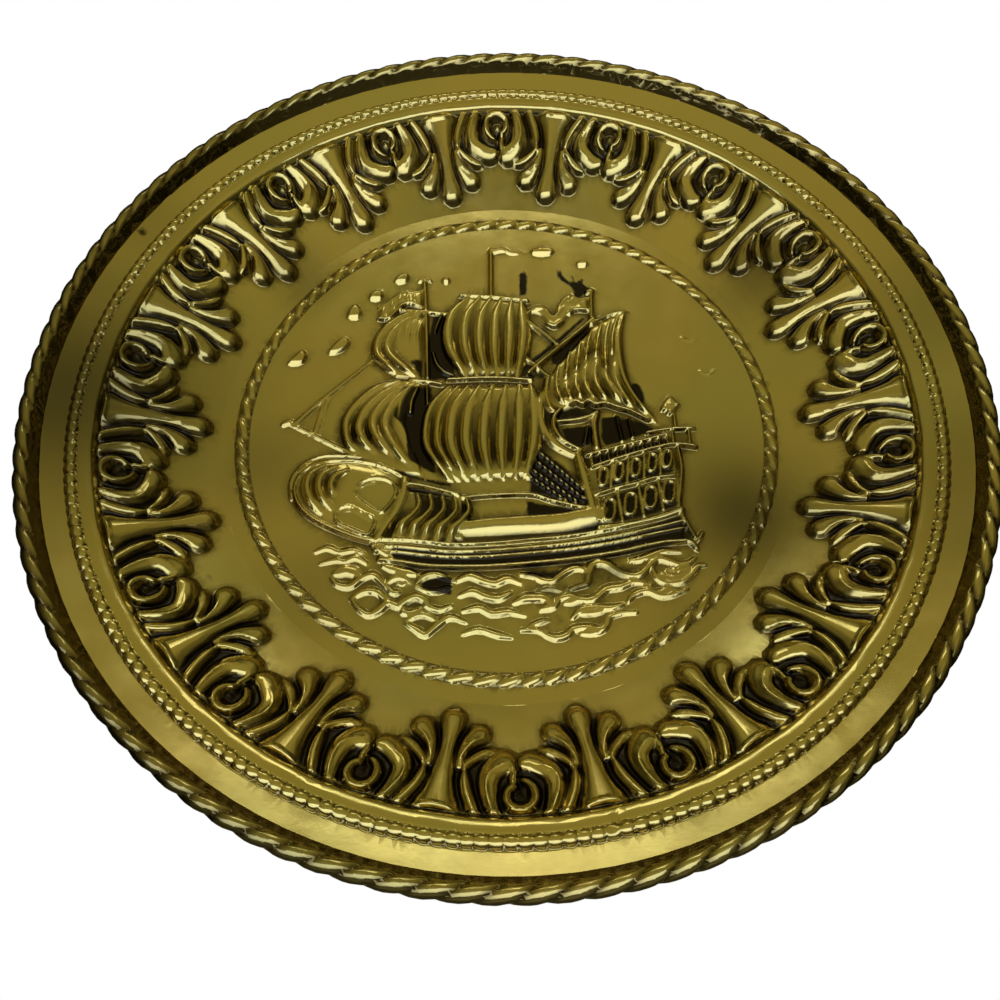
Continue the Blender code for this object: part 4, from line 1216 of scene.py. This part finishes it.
def rim_gaps(points):
    """How deep each point of the rim's rope lies between its strands."""
    x, y, z = points.T
    turn = np.degrees(np.arctan2(z, x))
    swing = rim_swing(points)
    return rim_reach(swing) - rim_tube(turn, swing)


def rim_shade(points):
    """Painted shade on the rim besides its grooves: most on its inner face; its outer side gets less, more
    on the left, where it is partly painted shade and partly tarnish.
    """
    swing = rim_swing(points)
    left = np.clip(-points[:, 0] / RIM_RADIUS, 0, 1)
    inner = np.clip((swing - 124.0) / 12.0, 0, 1)
    return inner + (0.15 + 0.35 * left) * np.clip((45.0 - swing) / 40.0, 0, 1)


def rim_tarnish(points):
    """How brown each point of the rim has become: most on the outer side, and on the left."""
    left = np.clip(-points[:, 0] / RIM_RADIUS, 0, 1)
    outer = np.clip((105.0 - rim_swing(points)) / 45.0, 0, 1)
    return 0.15 + 0.4 * left + (0.2 + 0.4 * left) * outer


def rim_point(turn, swing):
    """A point of the rim's rope, as x, y and z in millimetres."""
    tube = rim_tube(turn, swing)
    radius = RIM_RADIUS + tube * np.cos(np.radians(swing))
    height = RIM_HEIGHT + tube * np.sin(np.radians(swing))
    x, z = np.moveaxis(polar(radius, turn), -1, 0)
    return np.stack([x, -height, z], axis=-1)


# ------------------------------------------------------------------ the mesh

def disc_grid(cells):
    """A square grid bent into a disc whose border is an even ring, first corner at -45 degrees."""
    line = np.linspace(-1, 1, cells + 1)
    a, b = np.meshgrid(line, line, indexing="ij")
    steep = np.abs(a) < np.abs(b)
    long = np.where(steep, b, a)
    short = np.where(steep, a, b)
    ratio = np.divide(short, long, out=np.zeros_like(long), where=long != 0)
    turn = np.where(steep, math.pi / 2 - math.pi / 4 * ratio, math.pi / 4 * ratio)
    return DISC_RADIUS * long * np.cos(turn), DISC_RADIUS * long * np.sin(turn)


def disc_border(cells):
    """Indices of the grid's border, anticlockwise from -45 degrees."""
    index = np.arange((cells + 1) ** 2).reshape(cells + 1, cells + 1)
    return np.concatenate([index[-1, :-1], index[::-1, -1][:-1], index[0, ::-1][:-1], index[:-1, 0]])


def grid_quads(index):
    """Quads between the rows and columns of an index grid."""
    return np.stack([index[:-1, :-1], index[1:, :-1], index[1:, 1:], index[:-1, 1:]], axis=-1).reshape(-1, 4)


def creased(radii, spacing):
    """Radii of which the nearest have been moved on to the creases of the turned profile."""
    for crease in CREASES:
        radii = np.where(np.abs(radii - crease) <= spacing / 2, crease, radii)
    return radii


def closed_rows(rows):
    """Index rows with the first column repeated at the end."""
    return np.concatenate([rows, rows[:, :1]], axis=1)


def rope_radius_end():
    """Radius at which the rope's surface ends on the back."""
    return RIM_RADIUS + RIM_TUBE * math.cos(math.radians(RIM_END))


def laid(height, x, z):
    """Points of a surface over plan positions."""
    return np.stack([x, -height(x, z), z], axis=-1)


def front_side(surface, cells, turns):
    """Points, quads and last row of the front: a disc, the wall round it and the rim's rope."""
    disc = laid(surface.front, *disc_grid(cells)).reshape(-1, 3)
    radii = np.linspace(DISC_RADIUS, rim_foot(), FRONT_ROWS + 1)[1:-1]
    radii = creased(radii, (rim_foot() - DISC_RADIUS) / FRONT_ROWS)
    plan = polar(radii[:, None], turns[None, :])
    wall = laid(surface.front, plan[..., 0], plan[..., 1])
    swings = np.linspace(RIM_FOOT, RIM_END, RIM_ROWS)
    rope = rim_point(turns[None, :], swings[:, None])
    outer = np.concatenate([wall, rope]).reshape(-1, 3)
    rows = len(disc) + np.arange(len(outer)).reshape(-1, len(turns))
    rows = np.vstack([disc_border(cells)[None, :], rows])
    index = np.arange(len(disc)).reshape(cells + 1, cells + 1)
    quads = [grid_quads(index), grid_quads(closed_rows(rows))]
    return np.concatenate([disc, outer]), quads, closed_rows(rows[-1:])[0]


def back_side(surface, cells, turns, start):
    """Points, quads and first row of the back, with indices from a start: a wall, then the disc in it."""
    radii = np.linspace(rope_radius_end(), DISC_RADIUS, BACK_ROWS + 1)[1:-1]
    plan = polar(radii[:, None], turns[None, :])
    wall = laid(surface.back, plan[..., 0], plan[..., 1])
    disc = laid(surface.back, *disc_grid(cells)).reshape(-1, 3)
    rows = start + np.arange(wall.shape[0] * wall.shape[1]).reshape(wall.shape[:2])
    disc_start = start + rows.size
    rows = np.vstack([rows, (disc_start + disc_border(cells))[None, :]])
    index = disc_start + np.arange(len(disc)).reshape(cells + 1, cells + 1)
    quads = [grid_quads(closed_rows(rows)), grid_quads(index)[:, ::-1]]
    return np.concatenate([wall.reshape(-1, 3), disc]), quads, closed_rows(rows[:1])[0]


def sheet_mesh(surface):
    """The whole closed sheet as dense points and triangles, and which points are on the front."""
    step = BACK_STEP
    ring = 4 * DISC_CELLS
    turns = -45.0 + 360.0 * np.arange(ring) / ring
    front, front_quads, last = front_side(surface, DISC_CELLS, turns)
    back, back_quads, first = back_side(surface, DISC_CELLS // step, turns[::step], len(front))
    seam = []
    for part in range(step):
        seam.append(np.stack([last[part:-1:step], first[:-1], last[part + 1::step]], axis=-1))
    seam.append(np.stack([last[step::step], first[:-1], first[1:]], axis=-1))
    on_front = np.zeros(len(front) + len(back))
    on_front[:len(front)] = 1.0
    quads = np.concatenate(front_quads + back_quads)
    triangles = np.concatenate([quads[:, [0, 1, 2]], quads[:, [0, 2, 3]]] + seam)
    return np.concatenate([front, back]), triangles, on_front


def mesh_from(points, triangles):
    """A Blender mesh from arrays of points in millimetres and triangles."""
    mesh = bpy.data.meshes.new("brass_plaque")
    mesh.vertices.add(len(points))
    mesh.vertices.foreach_set("co", (points * MM).ravel())
    mesh.loops.add(triangles.size)
    mesh.loops.foreach_set("vertex_index", triangles.ravel().astype(np.int32))
    mesh.polygons.add(len(triangles))
    mesh.polygons.foreach_set("loop_start", np.arange(0, triangles.size, 3, dtype=np.int32))
    mesh.update(calc_edges=True)
    return mesh


def read_values(items, name, width=1):
    """One property of many mesh items as an array."""
    values = np.zeros(len(items) * width, dtype=np.int32 if name == "vertices" else np.float64)
    items.foreach_get(name, values)
    return values.reshape(-1, width) if width > 1 else values


def thinned(points, triangles, front):
    """The dense surface with most of its points taken out where it is plainest."""
    dense = mesh_from(points, triangles)
    side = dense.attributes.new("front_side", "FLOAT", "POINT")
    side.data.foreach_set("value", front)
    piece = bpy.data.objects.new("dense", dense)
    bpy.context.collection.objects.link(piece)
    modifier = piece.modifiers.new("thin", "DECIMATE")
    modifier.ratio = THINNED_TRIANGLES / len(triangles)
    result = bpy.data.meshes.new_from_object(piece.evaluated_get(bpy.context.evaluated_depsgraph_get()))
    points = read_values(result.vertices, "co", 3) / MM
    triangles = read_values(result.polygons, "vertices", 3)
    front = read_values(result.attributes["front_side"].data, "value")
    bpy.data.objects.remove(piece)
    bpy.data.meshes.remove(dense)
    bpy.data.meshes.remove(result)
    return points, triangles, front


def too_long(surface, points, edges, middles, front):
    """Which edges need a point more: the very long ones, and those over which the darkness is uneven."""
    lengths = np.linalg.norm(points[edges[:, 0]] - points[edges[:, 1]], axis=1)
    ends = surface.shade(points[:, 0], points[:, 2])[edges].mean(axis=1)
    uneven = np.abs(surface.shade(middles[:, 0], middles[:, 2]) - ends) > SHADE_STEP
    limit = np.where(uneven, SHADE_EDGE, OPEN_EDGE)
    radius = np.hypot(middles[:, 0], middles[:, 2])
    for inner, outer in FOOT_RINGS:
        limit[(radius > inner) & (radius < outer)] = FOOT_EDGE
    return lengths > np.where(front > 0.5, limit, BACK_EDGE)


def split_once(surface, points, triangles, front):
    """The surface with each edge that is too long split in two, its middle put on the true surface."""
    sides = np.stack([triangles, np.roll(triangles, -1, axis=1)], axis=-1).reshape(-1, 2)
    edges, place = np.unique(np.sort(sides, axis=1), axis=0, return_inverse=True)
    middles = points[edges].mean(axis=1)
    middle_front = front[edges].min(axis=1)
    long = too_long(surface, points, edges, middles, middle_front)
    fresh = np.where(long, len(points) + np.cumsum(long) - 1, -1)
    added = middles[long]
    kept_front = middle_front[long]
    plate = np.hypot(added[:, 0], added[:, 2]) < rim_foot()
    on_front = plate & (kept_front > 0.5)
    on_back = plate & (kept_front <= 0.5)
    added[on_front, 1] = -surface.front(added[on_front, 0], added[on_front, 2])
    added[on_back, 1] = -surface.back(added[on_back, 0], added[on_back, 2])
    cut = fresh[place.ravel()].reshape(-1, 3)
    count = (cut >= 0).sum(axis=1)
    parts = [triangles[count == 0]]
    for number, pattern in ((1, (True, False, False)), (2, (True, True, False)), (3, (True, True, True))):
        for turn in range(3 if number < 3 else 1):
            corners = np.roll(triangles, -turn, axis=1)
            marks = np.roll(cut, -turn, axis=1)
            match = np.all((marks >= 0) == pattern, axis=1)
            a, b, c = corners[match].T
            ab, bc, ca = marks[match].T
            if number == 1:
                pieces = ((a, ab, c), (ab, b, c))
            elif number == 2:
                pieces = ((ab, b, bc), (a, ab, bc), (a, bc, c))
            else:
                pieces = ((a, ab, ca), (ab, b, bc), (ca, bc, c), (ab, bc, ca))
            parts += [np.stack(piece, axis=-1) for piece in pieces]
    points = np.concatenate([points, added])
    front = np.concatenate([front, kept_front])
    return points, np.concatenate(parts), front


def front_or_back_normals(surface, points, front):
    """Outward directions at points of the front and the back."""
    x, _, z = points.T
    near = NORMAL_STEP
    normals = np.zeros_like(points)
    for height, mask, facing in ((surface.front, front > 0.5, -1.0), (surface.back, front <= 0.5, 1.0)):
        across = (height(x[mask] + near, z[mask]) - height(x[mask] - near, z[mask])) / (2 * near)
        upward = (height(x[mask], z[mask] + near) - height(x[mask], z[mask] - near)) / (2 * near)
        normals[mask] = np.stack([facing * across, np.full(mask.sum(), facing), facing * upward], axis=-1)
    return normals


def rope_normals(points):
    """Outward directions at points of the rim's rope."""
    x, y, z = points.T
    turn = np.degrees(np.arctan2(z, x))
    swing = rim_swing(points)
    round_plate = rim_point(turn + 0.02, swing) - rim_point(turn - 0.02, swing)
    round_tube = rim_point(turn, swing + 1.0) - rim_point(turn, swing - 1.0)
    centre_x, centre_z = polar(RIM_RADIUS, turn).T
    outward = np.cross(round_plate, round_tube)
    from_centre = points - np.stack([centre_x, np.full(len(turn), -RIM_HEIGHT), centre_z], axis=-1)
    return outward * np.sign(np.sum(outward * from_centre, axis=1))[:, None]


def surface_normals(surface, points, front):
    """Outward unit directions at points of the plaque."""
    normals = front_or_back_normals(surface, points, front)
    radius = np.hypot(points[:, 0], points[:, 2])
    from_tube = np.hypot(-points[:, 1] - RIM_HEIGHT, radius - RIM_RADIUS)
    rope = (front > 0.5) & (radius > rim_foot()) & (from_tube < rim_reach(rim_swing(points)) + 0.2)
    normals[rope] = rope_normals(points[rope])
    return normals / np.linalg.norm(normals, axis=1)[:, None]


def inside_corners(corners):
    """The corners of the triangles, moved a little inwards where these are large or meet a crease."""
    size = np.linalg.norm(corners - np.roll(corners, 1, axis=1), axis=2).max(axis=1)
    towards = corners.mean(axis=1)[:, None, :] - corners
    shift = np.clip((size - SHIFTED_FROM) * SHIFT_GROWTH, 0.0, SHIFT_MOST)[:, None] * np.ones(3)
    radius = np.hypot(corners[..., 0], corners[..., 2])
    for crease in CREASES:
        close = np.abs(radius - crease) < CREASE_REACH
        shift[close] = np.maximum(shift, CREASE_SHIFT / np.linalg.norm(towards, axis=2))[close]
    return (corners + towards * np.minimum(shift, 0.5)[..., None]).reshape(-1, 3)


def steepness(normals, radius):
    """How steep each place is, which sets the painted shade on steep slopes; the shoulder counts as level
    and is left unshaded.
    """
    steep = np.hypot(normals[:, 0], normals[:, 2]) / np.maximum(np.abs(normals[:, 1]), 0.05)
    steep[(radius > UNSHADED_SHOULDER[0]) & (radius < UNSHADED_SHOULDER[1])] = 0.0
    return steep


def store_looks(mesh, surface, places, normals, corner_front):
    """What the material needs to know of each corner, as attributes of the mesh."""
    x, _, z = places.T
    radius = np.hypot(x, z)
    steep = steepness(normals, radius)
    on_sheet = (corner_front > 0.5) & (radius < rim_foot())
    on_rope = (corner_front > 0.5) & ~on_sheet
    for name, sheet, rope in (
        # on the rope, hollow and gap also carry the painted shade of the rim's inner face and outer side
        ("hollow", surface.hollows(x, z), rim_gaps(places) + 0.3 * rim_shade(places)),
        ("gap", surface.gaps(x, z), rim_gaps(places) * 1.3 + 0.4 * rim_shade(places)),
        ("lifted", surface.relief(x, z), 0.0),
        ("stain_and_shade", surface.stains_and_shade(x, z), 0.0),
        ("tarnish", surface.tarnish(x, z), rim_tarnish(places)),
        # steepness, by which steep slopes get brown painted shade
        ("steep", steep, steep),
    ):
        attribute = mesh.attributes.new(name, "FLOAT", "CORNER")
        attribute.data.foreach_set("value", np.where(on_sheet, sheet, np.where(on_rope, rope, 0.0)))


def make_plaque():
    """The plaque: one closed sheet of brass with its relief."""
    surface = Surface()
    points, triangles, front = thinned(*sheet_mesh(surface))
    for _ in range(SPLITS):
        points, triangles, front = split_once(surface, points, triangles, front)
    mesh = mesh_from(points, triangles)
    piece = bpy.data.objects.new("brass_plaque", mesh)
    bpy.context.collection.objects.link(piece)
    places = inside_corners(points[triangles])
    corner_front = front[triangles].min(axis=1).repeat(3)
    normals = surface_normals(surface, places, corner_front)
    mesh.shade_smooth()
    mesh.normals_split_custom_set(normals.tolist())
    store_looks(mesh, surface, places, normals, corner_front)
    return piece


# ------------------------------------------------------------------ materials

class Nodes:
    """Short calls for building a node tree."""

    def __init__(self, tree):
        self.tree = tree

    def add(self, kind, inputs=(), **settings):
        """A node with settings, its inputs set from values or linked from sockets."""
        node = self.tree.nodes.new(kind)
        for name, value in settings.items():
            setattr(node, name, value)
        self.feed(node, dict(inputs))
        return node

    def feed(self, node, inputs):
        """A node's inputs set from values or linked from sockets."""
        for name, value in inputs.items():
            if isinstance(value, bpy.types.NodeSocket):
                self.tree.links.new(value, node.inputs[name])
            else:
                node.inputs[name].default_value = value

    def math(self, operation, first, second=0.0):
        """The result of a Math node."""
        return self.add("ShaderNodeMath", {0: first, 1: second}, operation=operation).outputs[0]

    def span(self, value, low, high, start=0.0, end=1.0):
        """A value moved from low and high to start and end, smoothly and clamped."""
        inputs = {0: value, 1: low, 2: high, 3: start, 4: end}
        return self.add("ShaderNodeMapRange", inputs, interpolation_type="SMOOTHSTEP").outputs[0]

    def noise(self, vector, scale, detail=3.0, roughness=0.5):
        """A noise value from 0 to 1."""
        inputs = {"Vector": vector, "Scale": scale, "Detail": detail, "Roughness": roughness}
        return self.add("ShaderNodeTexNoise", inputs).outputs["Fac"]

    def mix(self, share, first, second):
        """A colour between two colours, which a Mix node keeps at its sockets 6 and 7."""
        return self.add("ShaderNodeMix", {0: share, 6: first, 7: second}, data_type="RGBA").outputs[2]

    def attribute(self, name):
        """A value stored on the mesh."""
        return self.add("ShaderNodeAttribute", attribute_name=name).outputs["Fac"]


BRASS = (0.80, 0.61, 0.17, 1.0)
BRASS_GREEN = (0.72, 0.59, 0.17, 1.0)
DULL = (0.19, 0.155, 0.055, 1.0)
# brown for hollows, and for painted shade on steep slopes, at the feet of the rows and on the rim's inner
# face
BROWN_TARNISH_AND_SHADE = (0.13, 0.09, 0.025, 1.0)
# black for patina, and for painted shade and shadow
PATINA_AND_SHADE = (0.030, 0.022, 0.010, 1.0)
WHITE = (1.0, 1.0, 1.0, 1.0)
PALE = (0.82, 0.82, 0.80, 1.0)
SURROUNDINGS = (1.0, 0.93, 0.42, 1.0)
CLOUDY_SCALE = 22.0
SMEAR_SCALE = 60.0
SPECKLE_SCALE = 420.0
BROAD_SCALE = 28.0
FINE_SCALE = 260.0
ROUGHNESS = (0.13, 0.22)
PATINA_ROUGHNESS = 0.12
COAT = 0.15
COAT_ROUGHNESS = 0.12


def patina_and_shade_share(nodes, place, cloudy):
    """How black each place is: in gaps, where the patina was left and where shade and shadow are painted,
    and less towards the top.
    """
    upward = nodes.add("ShaderNodeSeparateXYZ", {0: place}).outputs["Z"]
    speckle = nodes.math("SUBTRACT", nodes.noise(place, SPECKLE_SCALE, 4.0, 0.6), 0.5)
    gap = nodes.math("ADD", nodes.attribute("gap"), nodes.math("MULTIPLY", speckle, 0.3))
    gap = nodes.math("SUBTRACT", gap, nodes.span(upward, -0.06, 0.12, 0.0, 0.55))
    gap = nodes.math("ADD", gap, nodes.span(cloudy, 0.3, 0.7, -0.15, 0.15))
    stain_and_shade = nodes.math("ADD", nodes.attribute("stain_and_shade"), nodes.math("MULTIPLY", speckle, 0.35))
    low = nodes.span(nodes.attribute("lifted"), 1.5, 0.9)
    stain_and_shade_blot = nodes.math("MULTIPLY", nodes.span(stain_and_shade, 0.25, 0.8), low)
    return nodes.math("MAXIMUM", nodes.span(gap, 0.7, 1.6), stain_and_shade_blot)


def brass_colour(nodes, cloudy, dark):
    """Brass that is greenish in clouds, dull where tarnished, brown in hollows and where shade is painted,
    and black where patina lies or darker shade is painted.
    """
    colour = nodes.mix(nodes.span(cloudy, 0.35, 0.7), BRASS, BRASS_GREEN)
    colour = nodes.mix(nodes.attribute("tarnish"), colour, DULL)
    # brown in hollows, with painted shade at the feet of the beads and the inner rope and on the rim
    hollow_brown_and_shade = nodes.span(nodes.attribute("hollow"), 0.0, 0.6, 0.0, 0.9)
    # painted shade: steep slopes turn brown
    steep = nodes.span(nodes.attribute("steep"), 0.75, 1.7, 0.0, 0.92)
    colour = nodes.mix(nodes.math("MAXIMUM", hollow_brown_and_shade, steep), colour, BROWN_TARNISH_AND_SHADE)
    return nodes.mix(dark, colour, PATINA_AND_SHADE)


def brass_bump(nodes, place):
    """The broad and the fine unevenness of the polish."""
    broad = {"Height": nodes.noise(place, BROAD_SCALE, 2.0), "Strength": 0.3, "Distance": 0.0012}
    fine = {"Height": nodes.noise(place, FINE_SCALE, 3.0, 0.6), "Strength": 0.15, "Distance": 0.0001}
    fine["Normal"] = nodes.add("ShaderNodeBump", broad).outputs[0]
    return nodes.add("ShaderNodeBump", fine).outputs[0]


def brass_material():
    """Lacquered antique brass with black patina in the hollows, brown and black painted shade in places,
    fine speckle and uneven tarnish.
    """
    material = bpy.data.materials.new("antique_brass")
    material.use_nodes = True
    nodes = Nodes(material.node_tree)
    shader = material.node_tree.nodes["Principled BSDF"]
    place = nodes.add("ShaderNodeTexCoord").outputs["Object"]
    cloudy = nodes.noise(place, CLOUDY_SCALE, 3.0)
    dark = patina_and_shade_share(nodes, place, cloudy)
    rough = nodes.span(nodes.noise(place, SMEAR_SCALE, 4.0, 0.6), 0.3, 0.75, *ROUGHNESS)
    rough = nodes.math("ADD", rough, nodes.math("MULTIPLY", dark, PATINA_ROUGHNESS))
    nodes.feed(shader, {
        "Base Color": brass_colour(nodes, cloudy, dark),
        "Roughness": rough,
        "Normal": brass_bump(nodes, place),
        "Metallic": 1.0,
        "Coat Weight": COAT,
        "Coat Roughness": COAT_ROUGHNESS,
    })
    return material


def floor_material():
    """A plain matt material for the floor, which looks pale however little light reaches it."""
    material = bpy.data.materials.new("pale_floor")
    material.use_nodes = True
    nodes = Nodes(material.node_tree)
    eye = nodes.add("ShaderNodeLightPath").outputs["Is Camera Ray"]
    nodes.feed(material.node_tree.nodes["Principled BSDF"], {
        "Base Color": PALE,
        "Roughness": FLOOR_ROUGHNESS,
        "Emission Color": WHITE,
        "Emission Strength": nodes.math("MULTIPLY", eye, FLOOR_GLOW),
    })
    return material


# ------------------------------------------------------------------ the setting

CAMERA_PLACE = (-0.0023, -0.2837, -0.1737)
CAMERA_RISE = 27.15
CAMERA_ROLL = -0.44
CAMERA_LENS = 35.28
CAMERA_SENSOR = 36.0
CAMERA_NEAREST = 0.01
FLOOR_SIZE = 8.0
FLOOR_HEIGHT = -2.5
FLOOR_ROUGHNESS = 0.7
FLOOR_GLOW = 0.6


def add_floor():
    """A pale floor below the plaque."""
    bpy.ops.mesh.primitive_plane_add(size=FLOOR_SIZE, location=(0.0, 0.0, FLOOR_HEIGHT))
    floor = bpy.context.object
    floor.name = "floor"
    floor.data.materials.append(floor_material())


def add_world():
    """White for the eye, and a soft warm light from the front for the brass."""
    world = bpy.data.worlds.new("studio")
    world.use_nodes = True
    bpy.context.scene.world = world
    bpy.context.scene.view_settings.view_transform = "Standard"
    tree = world.node_tree
    nodes = Nodes(tree)
    direction = nodes.add("ShaderNodeTexCoord").outputs["Generated"]
    parts = nodes.add("ShaderNodeSeparateXYZ", {0: direction})
    facing = nodes.span(parts.outputs["Y"], -0.1, -0.5, 0.05, 0.26)
    aside = nodes.span(nodes.math("ABSOLUTE", parts.outputs["X"]), 0.45, 0.8, 1.0, 0.4)
    low = nodes.span(parts.outputs["Z"], -0.14, 0.03, 0.6, 1.0)
    middle = nodes.span(parts.outputs["Z"], 0.1, 0.35, 1.2, 1.0)
    across = nodes.math("MULTIPLY", facing, middle)
    level = nodes.math("MULTIPLY", across, nodes.math("MULTIPLY", aside, low))
    lit = nodes.add("ShaderNodeBackground", {"Color": SURROUNDINGS, "Strength": level})
    seen = nodes.add("ShaderNodeBackground", {"Color": WHITE, "Strength": 1.0})
    eye = nodes.add("ShaderNodeLightPath").outputs["Is Camera Ray"]
    both = nodes.add("ShaderNodeMixShader", {0: eye, 1: lit.outputs[0], 2: seen.outputs[0]})
    tree.links.new(both.outputs[0], tree.nodes["World Output"].inputs["Surface"])


# name, place, width, height, brightness, colour
LIGHTS = (
    ("far", (-0.03, -1.27, 1.56), 0.85, 0.26, 1.65, (0.86, 0.92, 1.0)),
    ("near", (-0.35, -1.84, -1.15), 3.9, 1.5, 1.5, (0.72, 0.84, 1.25)),
    ("behind", (0.0, 2.4, -0.3), 2.6, 1.4, 0.3, (1.0, 0.93, 0.5)),
)


def add_lights():
    """Soft boxes that face the plaque."""
    for name, place, width, height, brightness, colour in LIGHTS:
        data = bpy.data.lights.new(name, "AREA")
        data.shape = "RECTANGLE"
        data.size = width
        data.size_y = height
        data.energy = brightness * math.pi * width * height
        data.color = colour
        light = bpy.data.objects.new(name, data)
        light.location = place
        light.rotation_euler = (-Vector(place)).to_track_quat("-Z", "Y").to_euler()
        light.visible_camera = False
        bpy.context.collection.objects.link(light)


def add_camera():
    """The camera below the plaque's middle, looking up at it."""
    data = bpy.data.cameras.new("camera")
    data.lens = CAMERA_LENS
    data.sensor_width = CAMERA_SENSOR
    data.clip_start = CAMERA_NEAREST
    camera = bpy.data.objects.new("camera", data)
    rise = math.radians(CAMERA_RISE)
    roll = math.radians(CAMERA_ROLL)
    forward = Vector((0.0, math.cos(rise), math.sin(rise)))
    right = Vector((1.0, 0.0, 0.0))
    down = forward.cross(right)
    turned_right = right * math.cos(roll) - down * math.sin(roll)
    turned_down = right * math.sin(roll) + down * math.cos(roll)
    camera.rotation_euler = Matrix((turned_right, -turned_down, -forward)).transposed().to_euler()
    camera.location = CAMERA_PLACE
    bpy.context.collection.objects.link(camera)
    bpy.context.scene.camera = camera


plaque = make_plaque()
plaque.data.materials.append(brass_material())
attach(plaque, "root")
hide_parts("plate")
add_floor()
add_world()
add_lights()
add_camera()
